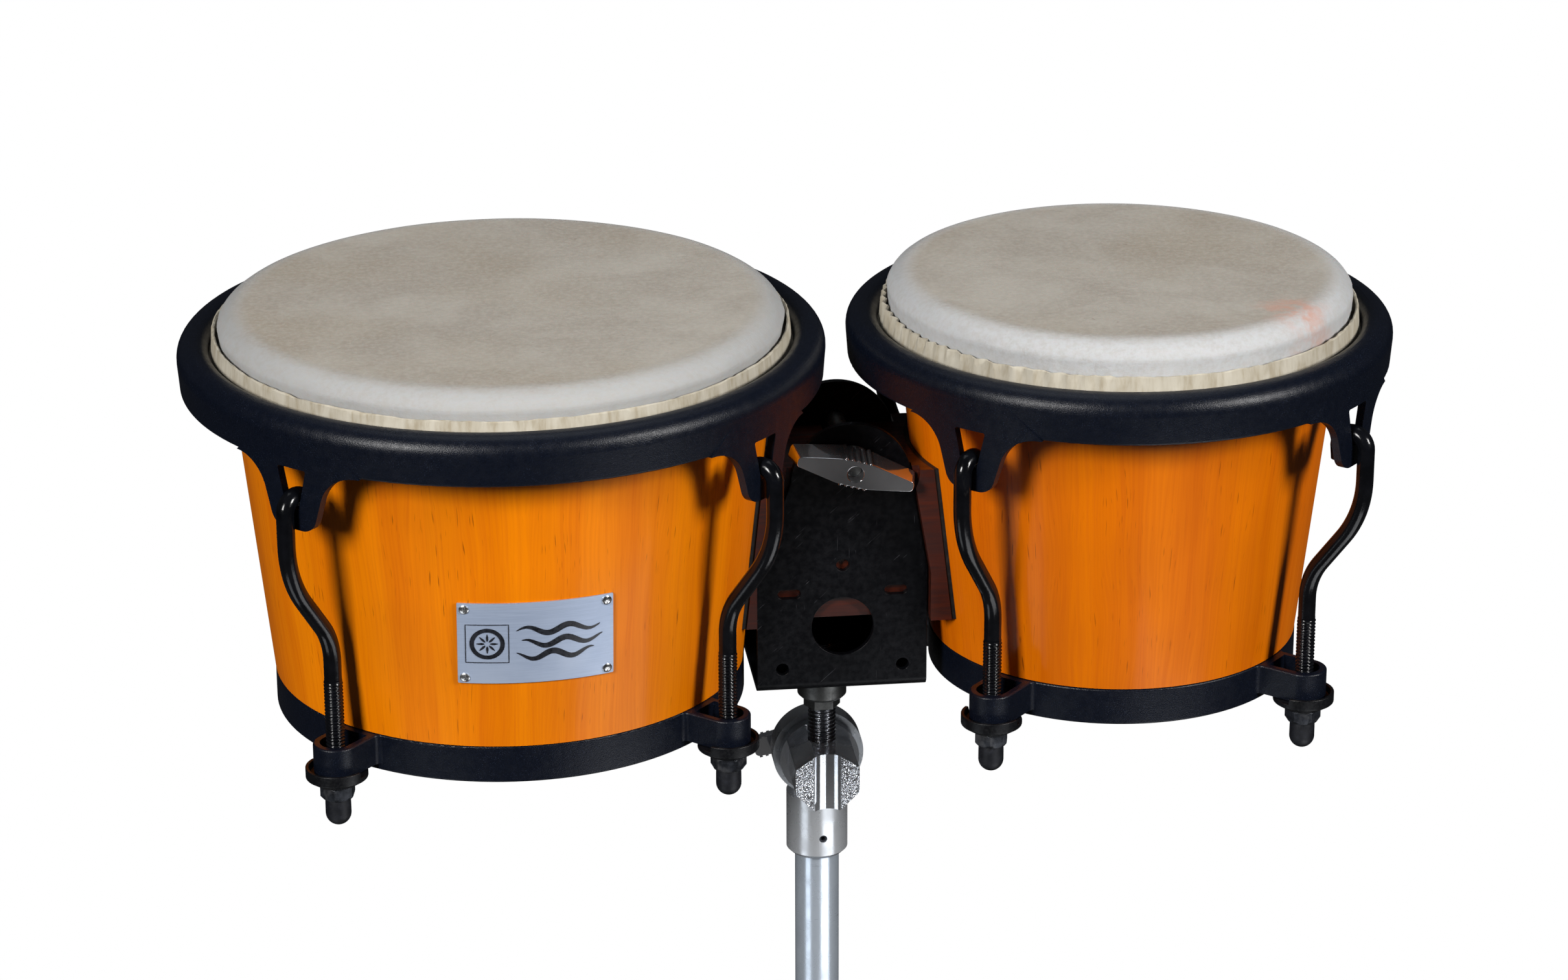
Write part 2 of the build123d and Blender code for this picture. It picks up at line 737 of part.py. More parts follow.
def make_wing_nut():
    """Wing nut that narrows to its front, left tip higher, with ridges across its hub."""
    back = DRUM_Y - BRACKET_HALF_Y - CLAMP_WASHER_T - 0.1
    back_plane = Plane(origin=(ARCH_X, back, CLAMP_Z), x_dir=(1, 0, 0), z_dir=(0, -1, 0))
    spread = Rot(0, 0, WING_TURN)
    nut = loft([wing_outline(0), Pos(0, 0, WING_DEPTH) * wing_outline(WING_NARROWING)])
    ridge_h = 2 * WING_HUB[1] + 1.2
    for step in range(WING_RIDGES):
        across = Pos((step - (WING_RIDGES - 1) / 2) * WING_RIDGE_STEP, 0)
        wide = Rectangle(1.3, ridge_h)
        narrow = Pos(0, 0, WING_DEPTH) * Rectangle(1.1, ridge_h - 2 * WING_NARROWING)
        nut += across * loft([wide.face(), narrow.face()])
    nut = back_plane * spread * nut
    nut -= cylinder_along_y(WING_BORE_R, ARCH_X, CLAMP_Z, back - WING_DEPTH - 5, back + 5)
    mouth = back_plane * Pos(0, 0, WING_DEPTH) * Cone(WING_BORE_R - 0.6, WING_BORE_R + 0.6, 1.2)
    return nut - mouth


# Threaded rod, its nuts, the tilter and the tube

def make_swivel_rod():
    rod = extrude(Circle(SWIVEL_ROD_R), BRACKET_BOTTOM + SWIVEL_ROD_RISE - SWIVEL_ROD_BOTTOM)
    rod = chamfer(rod.edges().filter_by(GeomType.CIRCLE), 0.8)
    return Pos(0, ROD_Y, SWIVEL_ROD_BOTTOM) * rod


def make_rod_lock_nut():
    nut = hexagon_prism(LOCK_NUT_FLATS, LOCK_NUT_H)
    nut -= extrude(Circle(SWIVEL_ROD_R + RUNNING_GAP), LOCK_NUT_H)
    return Pos(0, ROD_Y, BRACKET_BOTTOM + PLATE_T) * nut


def make_rod_flange_nut():
    collar = extrude(Circle(FLANGE_R), -FLANGE_H)
    collar = chamfer(collar.edges().sort_by(Axis.Z)[0], 1.4)
    hexagon = Pos(0, 0, -FLANGE_NUT_H) * hexagon_prism(FLANGE_NUT_FLATS, FLANGE_NUT_H)
    nut = collar + hexagon - extrude(Circle(SWIVEL_ROD_R + RUNNING_GAP), -FLANGE_NUT_H)
    return Pos(0, ROD_Y, BRACKET_BOTTOM) * nut


def make_rod_holder():
    right = [
        (HOLDER_FLAT_HALF, PIVOT_Z - HOLDER_TOP),
        (HOLDER_HALF, PIVOT_Z - HOLDER_SIDE_LOW),
        (HOLDER_HALF, PIVOT_Z + HOLDER_SIDE_HIGH),
        (HOLDER_FLAT_HALF, PIVOT_Z + HOLDER_TOP),
    ]
    left = [(-x, z) for x, z in right[::-1]]
    face = rounded(right + left, [1.0] * 8)
    depth = HOLDER_BACK - HOLDER_FRONT
    holder = Pos(0, HOLDER_BACK, 0) * extrude(face, depth)
    holder += cylinder_along_y(DISC_R - 2.5, 0, PIVOT_Z, HOLDER_BACK - 5, HOLDER_BACK)
    channel = Pos(0, HOLDER_FRONT - CHANNEL_R + CHANNEL_SINK, PIVOT_Z - 30) * extrude(Circle(CHANNEL_R), 60)
    holder -= channel
    holder -= Pos(0, ROD_Y, SWIVEL_ROD_BOTTOM - FIT_GAP) * extrude(Circle(SWIVEL_ROD_R + RUNNING_GAP), 50)
    holder -= cylinder_along_y(LEVER_SCREW_R + LEVER_SCREW_GAP, 0, PIVOT_Z, ROD_Y, HOLDER_BACK + 1)
    return holder


def make_tilter_body():
    """Collar and rear disc of the tilter in one casting."""
    bore = SPIGOT_R + BORE_GAP
    collar = turned(polygon(
        (bore, COLLAR_BOTTOM), (COLLAR_R - COLLAR_CHAMFER, COLLAR_BOTTOM),
        (COLLAR_R, COLLAR_BOTTOM + COLLAR_CHAMFER), (COLLAR_R, COLLAR_TOP),
        (0, COLLAR_TOP), (0, TUBE_TOP + SEAT_GAP), (bore, TUBE_TOP + SEAT_GAP),
    ))
    neck = block_between(
        (-NECK_HALF, -DISC_HALF, COLLAR_TOP - 3), (NECK_HALF, DISC_HALF, PIVOT_Z)
    )
    body = collar + neck + cylinder_along_y(DISC_R, 0, PIVOT_Z, -DISC_HALF, DISC_HALF)
    body -= cylinder_along_y(LEVER_SCREW_R + LEVER_SCREW_GAP, 0, PIVOT_Z, -DISC_HALF - 5, DISC_HALF + 5)
    return body - set_screw_solid(SET_SCREW_R + 0.03, SPIGOT_R - 2, COLLAR_R + 5)


def set_screw_solid(radius, start, end):
    plane = Plane(origin=(0, 0, SET_SCREW_Z), x_dir=(0, 0, 1), z_dir=(1, 0, 0))
    rod = extrude(plane.offset(start) * Circle(radius), end - start)
    return Rot(0, 0, SET_SCREW_TURN - 90) * rod


def make_set_screw():
    screw = set_screw_solid(SET_SCREW_R, SPIGOT_R + 0.1, COLLAR_R - 0.7)
    socket_plane = Plane(origin=(COLLAR_R - 2.2, 0, SET_SCREW_Z), x_dir=(0, 0, 1), z_dir=(1, 0, 0))
    socket = extrude(socket_plane * RegularPolygon(0.9, 6, major_radius=False), 5)
    return screw - Rot(0, 0, SET_SCREW_TURN - 90) * socket


def make_tilt_lever_screw():
    """Clamping screw of the tilter, with one ridged wing behind the disc."""
    screw = cylinder_along_y(LEVER_SCREW_R, 0, PIVOT_Z, ROD_Y + SWIVEL_ROD_R + 0.4, DISC_HALF + 1)
    hub = cylinder_along_y(LEVER_HUB_R, 0, PIVOT_Z, DISC_HALF + 0.1, LEVER_BACK)
    wing_plane = Plane(origin=(0, LEVER_FRONT, PIVOT_Z), x_dir=(1, 0, 0), z_dir=(0, 1, 0))
    wing_face = make_face(FilletPolyline(
        (0, -LEVER_ROOT_HALF), (LEVER_REACH, -LEVER_TIP_HALF),
        (LEVER_REACH, LEVER_TIP_HALF), (0, LEVER_ROOT_HALF),
        radius=[0, 2, 2, 0],
        close=True,
    ))
    thick = LEVER_BACK - LEVER_FRONT
    turn = Rot(0, 0, -LEVER_TURN)
    wing = extrude(wing_plane * turn * wing_face, thick)
    for step in range(LEVER_RIDGES):
        ridge = Pos(LEVER_REACH - 2.2 - 2.6 * step, 0) * Rectangle(1.3, 9.4)
        wing += extrude(wing_plane * turn * ridge, thick)
    return screw + hub + wing


def make_stand_tube():
    """Tube whose top is turned down a little where it stands in the collar."""
    inside = TUBE_R - TUBE_WALL
    return turned(polygon(
        (inside, 0), (TUBE_R, 0), (TUBE_R, TUBE_SHOULDER),
        (SPIGOT_R, TUBE_SHOULDER), (SPIGOT_R, TUBE_TOP), (inside, TUBE_TOP),
    ))


def build_nodes():
    nodes = {}
    for drum in DRUMS:
        name = drum.name
        nodes[name + "_shell"] = make_shell(drum)
        nodes[name + "_skin"] = make_skin(drum)
        nodes[name + "_flesh_hoop"] = make_flesh_hoop(drum)
        nodes[name + "_counterhoop"] = make_counterhoop(drum)
        nodes[name + "_bottom_ring"] = make_bottom_ring(drum)
        nodes[name + "_washers"] = make_washers(drum)
        for number, angle in enumerate(LUG_ANGLES, start=1):
            nodes[f"{name}_rod_{number}"] = make_rod(drum, angle)
            nodes[f"{name}_nut_{number}"] = make_nut(drum, angle)
            nodes[f"{name}_cap_{number}"] = make_cap(drum, angle)
    nodes["nameplate"] = make_nameplate()
    nodes["nameplate_screws"] = make_nameplate_screws()
    nodes["centre_block"] = make_centre_block()
    nodes["block_gaskets"] = make_gaskets()
    nodes["block_bolts"] = make_block_bolts()
    nodes["block_washers"] = make_block_washers()
    nodes["u_bracket"] = make_u_bracket()
    nodes["clamp_bolt"] = make_clamp_bolt()
    nodes["clamp_washer"] = make_clamp_washer()
    nodes["wing_nut"] = make_wing_nut()
    nodes["swivel_rod"] = make_swivel_rod()
    nodes["rod_lock_nut"] = make_rod_lock_nut()
    nodes["rod_flange_nut"] = make_rod_flange_nut()
    nodes["rod_holder"] = make_rod_holder()
    nodes["tilter_body"] = make_tilter_body()
    nodes["tilt_lever_screw"] = make_tilt_lever_screw()
    nodes["set_screw"] = make_set_screw()
    nodes["stand_tube"] = make_stand_tube()
    return nodes


def main():
    os.makedirs("parts", exist_ok=True)
    for name, shape in build_nodes().items():
        pieces = shape if isinstance(shape, list) else [shape]
        solids = [solid for piece in pieces for solid in piece.solids()]
        whole = solids[0] if len(solids) == 1 else Compound(children=solids)
        export_step(whole, f"parts/{name}.step")


main()
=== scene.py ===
import json
import math

import bmesh
import bpy
from mathutils import Matrix, Vector, noise

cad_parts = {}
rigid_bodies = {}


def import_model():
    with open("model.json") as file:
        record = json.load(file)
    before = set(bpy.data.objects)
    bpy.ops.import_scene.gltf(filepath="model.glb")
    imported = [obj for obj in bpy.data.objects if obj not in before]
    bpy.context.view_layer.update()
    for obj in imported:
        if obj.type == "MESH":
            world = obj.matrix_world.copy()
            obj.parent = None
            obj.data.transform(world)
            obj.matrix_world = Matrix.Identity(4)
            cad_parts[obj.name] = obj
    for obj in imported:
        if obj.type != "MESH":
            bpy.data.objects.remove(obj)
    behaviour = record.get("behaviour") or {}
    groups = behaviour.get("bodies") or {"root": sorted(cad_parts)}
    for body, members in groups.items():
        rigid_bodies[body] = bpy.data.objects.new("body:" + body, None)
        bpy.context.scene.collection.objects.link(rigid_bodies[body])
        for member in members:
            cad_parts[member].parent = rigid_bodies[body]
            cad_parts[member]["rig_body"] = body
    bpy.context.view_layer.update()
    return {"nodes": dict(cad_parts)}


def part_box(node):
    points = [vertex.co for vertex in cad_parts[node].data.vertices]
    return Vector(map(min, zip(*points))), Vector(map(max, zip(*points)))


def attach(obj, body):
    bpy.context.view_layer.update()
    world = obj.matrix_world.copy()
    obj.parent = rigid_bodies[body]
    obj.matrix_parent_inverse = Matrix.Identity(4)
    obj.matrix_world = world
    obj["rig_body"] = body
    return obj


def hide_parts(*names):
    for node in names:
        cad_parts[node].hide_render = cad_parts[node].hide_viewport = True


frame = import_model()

MM = 0.001
NODES = frame["nodes"]
DRUM_NAMES = ("large", "small")
LUG_ANGLES = (-42, 48, 138, 228)

# Heads and shells, in millimetres
SKIN_T = 1.15
ROLL_R = 10.8
EDGE_INSET = 8.5
WALL = 11.0
WIRE_R = 2.75
WRAP_GAP = 0.1
SHELL_EDGE = 0.8
RING_REBATE = 2.7
HOOP_INSET = 15.6
HOOP_DEPTH = 9.7
FLAP_INSET = 14.5
LUG_INSET = 19.5

# Tuning rods, in millimetres; depths are measured from the top of the rim
SHANK_R = 3.58
THREAD_R = 3.93
THREAD_PITCH = 1.5
THREAD_DEPTH = 0.65
HOOK_R = 6.2
HOOK_INSET = 1.8
HOOK_DEPTH = 38.5
HOOK_TIP_DEPTH = 44.5
BEND_HIGH = 66.0
BEND_LOW = 99.0
BEND_HIGH_R = 45.0
BEND_LOW_R = 28.0
TIP_CHAMFER = 0.5
THREAD_TAPER = 0.16

# Threaded rod under the bracket, in millimetres
ROD_PITCH = 1.75
ROD_THREAD_DEPTH = 0.95

# Nuts and nameplate, in millimetres, and the plate's turn in degrees
NUT_HALF_FLATS = 6.5
NUT_CORNER = 7.42
NUT_FACE_R = 6.25
NUT_BORE = 4.0
NUT_CHAMFER = 0.9
NUT_DROOP = 0.55
PLATE_TURN = 2.8
PLATE_DEPTH = 108.5
PLATE_FACE = 0.9
PLATE_HALF_W = 31.0
PLATE_HALF_H = 17.75
SCREW_INSET = 2.6
SCREW_R = 1.9

# Sizes of each drum, in millimetres; taper is the shell's narrowing per millimetre of depth
DRUM_SIZES = {
    "large": {"shell_r": 113.7, "taper": 0.1027, "ring_r": 97.7, "flap_top": 9.0, "thread_top": 127.8},
    "small": {"shell_r": 94.5, "taper": 0.1100, "ring_r": 77.5, "flap_top": 12.6, "thread_top": 133.2},
}

# Looks of each drum: stain from light to dark, staves, paler hide over the edge, and the place of a red
# stain in metres
DRUM_LOOKS = {
    "large": {
        "light": (0.90, 0.245, 0.0), "dark": (0.70, 0.150, 0.0), "staves": 11,
        "pale": (0.40, 0.405, 0.405), "stain_at": None,
    },
    "small": {
        "light": (0.80, 0.190, 0.0), "dark": (0.62, 0.118, 0.0), "staves": 9,
        "pale": (0.50, 0.51, 0.52), "stain_at": (0.060, -0.062),
    },
}
LACQUER_COAT = 0.16
# Camera, in metres, degrees and millimetres of lens, and the floor's height and half width in metres
CAMERA_PLACE = (-0.2234, -1.7654, 1.0036)
CAMERA_YAW = 6.77
CAMERA_PITCH = 21.14
CAMERA_ROLL = 0.20
CAMERA_LENS = 104.13
FLOOR_Z = -0.55
FLOOR_HALF = 14.0


# ---------------------------------------------------------------- shader helper

class Shader:
    """A node material built step by step around one Principled shader."""

    def __init__(self, name):
        self.mat = bpy.data.materials.new(name)
        self.mat.use_nodes = True
        self.tree = self.mat.node_tree
        self.bsdf = self.tree.nodes["Principled BSDF"]
        self.point = self.node("ShaderNodeTexCoord").outputs["Object"]

    def node(self, kind, **settings):
        made = self.tree.nodes.new(kind)
        for key, value in settings.items():
            setattr(made, key, value)
        return made

    def feed(self, socket, value):
        if isinstance(value, bpy.types.NodeSocket):
            self.tree.links.new(value, socket)
        elif socket.type == "RGBA" and len(value) == 3:
            socket.default_value = (*value, 1.0)
        else:
            socket.default_value = value

    def math(self, operation, a, b=0.0, c=0.0):
        made = self.node("ShaderNodeMath", operation=operation)
        for socket, value in zip(made.inputs, (a, b, c)):
            self.feed(socket, value)
        return made.outputs[0]

    def vector(self, operation, a, b):
        made = self.node("ShaderNodeVectorMath", operation=operation)
        self.feed(made.inputs[0], a)
        self.feed(made.inputs[1], b)
        return made.outputs[0]

    def split(self, vector):
        made = self.node("ShaderNodeSeparateXYZ")
        self.feed(made.inputs[0], vector)
        return made.outputs

    def join(self, x, y, z=0.0):
        made = self.node("ShaderNodeCombineXYZ")
        for socket, value in zip(made.inputs, (x, y, z)):
            self.feed(socket, value)
        return made.outputs[0]

    def scaled(self, x, y, z, vector=None):
        return self.vector("MULTIPLY", vector or self.point, (x, y, z))

    def noise(self, vector, scale=1.0, detail=3.0, rough=0.5, warp=0.0):
        made = self.node("ShaderNodeTexNoise")
        self.feed(made.inputs["Vector"], vector)
        made.inputs["Scale"].default_value = scale
        made.inputs["Detail"].default_value = detail
        made.inputs["Roughness"].default_value = rough
        made.inputs["Distortion"].default_value = warp
        return made.outputs["Fac"]

    def cells(self, vector, scale, feature="F1"):
        made = self.node("ShaderNodeTexVoronoi", feature=feature)
        self.feed(made.inputs["Vector"], vector)
        made.inputs["Scale"].default_value = scale
        return made.outputs["Distance"]

    def ramp(self, value, low, high, out_low=0.0, out_high=1.0):
        made = self.node("ShaderNodeMapRange", clamp=True, interpolation_type="SMOOTHSTEP")
        self.feed(made.inputs["Value"], value)
        limits = {"From Min": low, "From Max": high, "To Min": out_low, "To Max": out_high}
        for key, number in limits.items():
            made.inputs[key].default_value = number
        return made.outputs["Result"]

    def mix(self, amount, a, b, blend="MIX"):
        made = self.node("ShaderNodeMix", data_type="RGBA", blend_type=blend)
        self.feed(made.inputs["Factor"], amount)
        self.feed(made.inputs["A"], a)
        self.feed(made.inputs["B"], b)
        return made.outputs["Result"]

    def bump(self, height, distance, strength=1.0, below=None):
        made = self.node("ShaderNodeBump")
        self.feed(made.inputs["Height"], height)
        made.inputs["Distance"].default_value = distance
        made.inputs["Strength"].default_value = strength
        if below is not None:
            self.feed(made.inputs["Normal"], below)
        return made.outputs["Normal"]

    def surface(self, colour=None, rough=None, normal=None, **constants):
        if colour is not None:
            self.feed(self.bsdf.inputs["Base Color"], colour)
        if rough is not None:
            self.feed(self.bsdf.inputs["Roughness"], rough)
        if normal is not None:
            self.feed(self.bsdf.inputs["Normal"], normal)
        for key, value in constants.items():
            self.feed(self.bsdf.inputs[key.replace("_", " ")], value)
        return self.mat


# ---------------------------------------------------------------- materials

def lacquered_wood(name, centre, radius, light, dark, coat, staves):
    """Vertical grain round a drum, in staves, with fine pores under a clear coat."""
    s = Shader(name)
    x, y, z = s.split(s.vector("SUBTRACT", s.point, (centre[0], centre[1], 0)))
    angle = s.math("ARCTAN2", y, x)
    index = s.math("FLOOR", s.math("MULTIPLY_ADD", angle, staves / math.tau, 0.37))
    white = s.node("ShaderNodeTexWhiteNoise", noise_dimensions="1D")
    s.feed(white.inputs["W"], index)
    stave = white.outputs["Value"]
    drift = s.noise(s.join(s.math("MULTIPLY", angle, 6.0), s.math("MULTIPLY", z, 9.0), stave), 1.0, 2.0)
    across = s.math("MULTIPLY_ADD", angle, radius, s.math("MULTIPLY", drift, 0.012))
    down = s.math("ADD", z, stave)
    streak = s.noise(
        s.join(s.math("MULTIPLY", across, 900.0), s.math("MULTIPLY", down, 14.0)), 1.0, 4.0, 0.6
    )
    band = s.noise(s.join(s.math("MULTIPLY", across, 60.0), s.math("MULTIPLY", down, 3.0)), 1.0, 3.0)
    pore = s.noise(s.join(s.math("MULTIPLY", across, 1500.0), s.math("MULTIPLY", down, 75.0)), 1.0, 1.0)
    rare = s.noise(s.join(s.math("MULTIPLY", across, 45.0), s.math("MULTIPLY", down, 12.0)), 1.0, 2.0)
    cloud = s.noise(s.point, 16.0, 2.0)
    tone = s.math("ADD", s.ramp(streak, 0.34, 0.72, 0.0, 0.38), s.ramp(band, 0.30, 0.72, 0.0, 0.62))
    colour = s.mix(tone, light, dark)
    mark = s.math("MULTIPLY", s.ramp(pore, 0.66, 0.76), s.ramp(rare, 0.42, 0.60, 0.10, 0.75))
    colour = s.mix(mark, colour, tuple(c * 0.30 for c in dark))
    shade = s.math("ADD", s.ramp(stave, 0.0, 1.0, 0.90, 1.05), s.ramp(cloud, 0.3, 0.7, -0.05, 0.05))
    colour = s.mix(1.0, colour, s.join(shade, shade, shade), "MULTIPLY")
    fleck = s.bump(pore, 0.00010, 0.30)
    swell = s.bump(s.noise(s.point, 55.0, 2.0), 0.0004, 0.10, fleck)
    rough = s.ramp(streak, 0.2, 0.8, 0.34, 0.48)
    return s.surface(
        colour, rough, swell, Coat_Weight=coat, Coat_Roughness=0.12, Coat_IOR=1.4, Specular_IOR_Level=0.10
    )


def bare_wood(name, centre, radius):
    s = Shader(name)
    x, y, z = s.split(s.vector("SUBTRACT", s.point, (centre[0], centre[1], 0)))
    angle = s.math("ARCTAN2", y, x)
    grain = s.noise(
        s.join(s.math("MULTIPLY", angle, radius * 700), s.math("MULTIPLY", z, 18.0)), 1.0, 4.0, 0.62
    )
    patch = s.noise(s.point, 24.0, 3.0)
    colour = s.mix(s.ramp(grain, 0.3, 0.72), (0.46, 0.26, 0.11), (0.27, 0.13, 0.05))
    colour = s.mix(s.ramp(patch, 0.4, 0.75, 0.0, 0.5), colour, (0.36, 0.20, 0.09))
    return s.surface(colour, s.ramp(grain, 0.2, 0.8, 0.6, 0.8), s.bump(grain, 0.0003, 0.5))


def block_wood():
    s = Shader("stained_block_wood")
    grain = s.noise(s.scaled(30, 420, 420), 1.0, 4.0, 0.6)
    band = s.noise(s.scaled(8, 90, 90), 1.0, 2.0)
    # Painted shade: the stain's colours are darkened to dark maroon because the block sits in shadow between
    # the drums.
    colour = s.mix(s.ramp(grain, 0.3, 0.7), (0.085, 0.013, 0.003), (0.026, 0.004, 0.002))
    colour = s.mix(s.ramp(band, 0.4, 0.7, 0.0, 0.6), colour, (0.045, 0.007, 0.003))
    return s.surface(
        colour, s.ramp(grain, 0.2, 0.8, 0.34, 0.5), s.bump(grain, 0.0002, 0.4),
        Coat_Weight=0.5, Coat_Roughness=0.16,
    )


def hide(name, centre, crest_r, pale, stain_at):
    """Natural hide: mottled and fibrous, paler where it turns over the edge."""
    s = Shader(name)
    x, y, _ = s.split(s.vector("SUBTRACT", s.point, (centre[0], centre[1], 0)))
    r = s.math("SQRT", s.math("ADD", s.math("MULTIPLY", x, x), s.math("MULTIPLY", y, y)))
    blotch = s.noise(s.point, 24.0, 5.0, 0.62, 0.4)
    cloud = s.noise(s.vector("ADD", s.point, (3.1, 1.7, 0.4)), 10.0, 3.0, 0.55)
    fine = s.noise(s.point, 420.0, 5.0, 0.70)
    fibre = s.noise(s.scaled(300, 1300, 800), 1.0, 4.0, 0.62, 1.0)
    speck = s.noise(s.vector("ADD", s.point, (0.7, 0.1, 0.0)), 170.0, 3.0, 0.55)
    vein = s.cells(s.vector("ADD", s.point, (0.4, 0.2, 0)), 46.0, "DISTANCE_TO_EDGE")
    colour = s.mix(s.ramp(blotch, 0.32, 0.70), (0.330, 0.292, 0.245), (0.420, 0.388, 0.335))
    colour = s.mix(s.ramp(cloud, 0.42, 0.68, 0.0, 0.55), colour, (0.305, 0.252, 0.185))
    colour = s.mix(s.ramp(fine, 0.38, 0.68, 0.0, 0.38), colour, (0.50, 0.465, 0.405))
    colour = s.mix(s.ramp(fibre, 0.56, 0.76, 0.0, 0.34), colour, (0.225, 0.178, 0.135))
    colour = s.mix(s.ramp(speck, 0.70, 0.78, 0.0, 0.45), colour, (0.19, 0.135, 0.095))
    colour = s.mix(s.ramp(vein, 0.0, 0.012, 0.10, 0.0), colour, (0.22, 0.16, 0.12))
    # Paler over the edge of the head, all the way round, patchy with the fine noise.
    edge = s.ramp(r, crest_r - 0.004, crest_r + 0.007)
    paler_edge = s.math("MULTIPLY", edge, s.ramp(fine, 0.30, 0.66, 0.70, 1.0))
    colour = s.mix(paler_edge, colour, pale)
    if stain_at:
        spot_x = s.math("SUBTRACT", x, stain_at[0])
        spot_y = s.math("SUBTRACT", y, stain_at[1])
        spot = s.math(
            "SQRT", s.math("ADD", s.math("MULTIPLY", spot_x, spot_x), s.math("MULTIPLY", spot_y, spot_y))
        )
        ragged = s.ramp(s.noise(s.point, 75.0, 4.0, 0.7), 0.40, 0.62, 0.05, 0.75)
        near = s.math("MULTIPLY", s.ramp(spot, 0.002, 0.022, 1.0, 0.0), ragged)
        colour = s.mix(near, colour, (0.55, 0.27, 0.19))
    height = s.math("ADD", s.math("MULTIPLY", fine, 0.6), s.math("MULTIPLY", fibre, 0.5))
    normal = s.bump(height, 0.00035, 0.60, s.bump(blotch, 0.0010, 0.25))
    return s.surface(
        colour, s.ramp(fine, 0.2, 0.8, 0.62, 0.82), normal,
        Sheen_Weight=0.08, Sheen_Roughness=0.5, Specular_IOR_Level=0.28,
        Subsurface_Weight=0.04, Subsurface_Scale=0.003,
    )


def hide_flap(name):
    """Cut edge of the hide: yellower and drier, with fibres that run up it."""
    s = Shader(name)
    fibre = s.noise(s.scaled(520, 520, 90), 1.0, 4.0, 0.60)
    patch = s.noise(s.scaled(150, 150, 60), 1.0, 3.0)
    colour = s.mix(s.ramp(fibre, 0.35, 0.70), (0.46, 0.42, 0.335), (0.36, 0.31, 0.225))
    colour = s.mix(s.ramp(patch, 0.40, 0.66, 0.0, 0.7), colour, (0.56, 0.525, 0.44))
    return s.surface(
        colour, s.ramp(fibre, 0.2, 0.8, 0.62, 0.78), s.bump(fibre, 0.0003, 0.45), Specular_IOR_Level=0.3
    )


def powder_coat():
    """Satin black powder coat: orange-peel grain and tiny bright bluish specks, which are painted glints."""
    s = Shader("black_powder_coat")
    peel = s.noise(s.point, 2300.0, 2.0, 0.5)
    wide = s.noise(s.point, 300.0, 2.0, 0.5)
    dust_and_glint = s.cells(s.point, 1500.0)
    glint_spread = s.noise(s.point, 120.0, 2.0, 0.5)
    colour = s.mix(s.ramp(peel, 0.3, 0.7), (0.0016, 0.0026, 0.0062), (0.0034, 0.0054, 0.0120))
    # Painted glints: sparse bright bluish specks in the colour stand in for the sparkle seen inside the
    # coat's highlights.
    speck = s.math("MULTIPLY", s.ramp(dust_and_glint, 0.08, 0.20, 0.55, 0.0), s.ramp(glint_spread, 0.40, 0.62, 0.2, 1.0))
    colour = s.mix(speck, colour, (0.055, 0.075, 0.13))
    normal = s.bump(peel, 0.00016, 0.65, s.bump(wide, 0.00030, 0.16))
    return s.surface(colour, s.ramp(wide, 0.3, 0.7, 0.30, 0.38), normal, Specular_IOR_Level=0.26)


def gloss_black(name, rough, scuff=0.0):
    s = Shader(name)
    wave = s.noise(s.point, 130.0, 3.0)
    fine = s.noise(s.point, 900.0, 3.0, 0.6)
    colour = s.mix(s.ramp(wave, 0.3, 0.7), (0.0018, 0.0020, 0.0028), (0.0038, 0.0042, 0.0058))
    rub = s.noise(s.scaled(60, 60, 25), 1.0, 5.0, 0.7)
    colour = s.mix(s.ramp(rub, 0.66, 0.74, 0.0, scuff), colour, (0.06, 0.055, 0.05))
    return s.surface(
        colour, s.ramp(fine, 0.2, 0.8, rough * 0.8, rough * 1.5), s.bump(fine, 0.00008, 0.4),
        Specular_IOR_Level=0.30,
    )


def bracket_paint():
    """Black sheet-steel paint with short pale scratches, scuffs and dusty haze."""
    s = Shader("black_bracket_paint")
    turned = s.node("ShaderNodeMapping")
    s.feed(turned.inputs["Vector"], s.point)
    turned.inputs["Rotation"].default_value = (0.4, 0.7, 0.9)
    line_a = s.noise(s.scaled(60, 60, 2400, turned.outputs[0]), 1.0, 1.0)
    line_b = s.noise(s.scaled(2100, 90, 70), 1.0, 1.0)
    place = s.noise(s.point, 95.0, 3.0, 0.6)
    rare = s.noise(s.vector("ADD", s.point, (1.3, 0.2, 2.1)), 60.0, 3.0, 0.6)
    mark_a = s.math("MULTIPLY", s.ramp(line_a, 0.70, 0.74), s.ramp(place, 0.53, 0.62))
    mark_b = s.math("MULTIPLY", s.ramp(line_b, 0.72, 0.76), s.ramp(rare, 0.54, 0.64))
    haze = s.noise(s.point, 420.0, 4.0, 0.7)
    colour = s.mix(s.ramp(haze, 0.35, 0.75), (0.0016, 0.0019, 0.0030), (0.0042, 0.0048, 0.0066))
    colour = s.mix(s.math("MULTIPLY", s.math("ADD", mark_a, mark_b), 0.55), colour, (0.10, 0.105, 0.12))
    rough = s.ramp(haze, 0.3, 0.75, 0.30, 0.50)
    return s.surface(colour, rough, s.bump(haze, 0.00012, 0.4), Specular_IOR_Level=0.18)


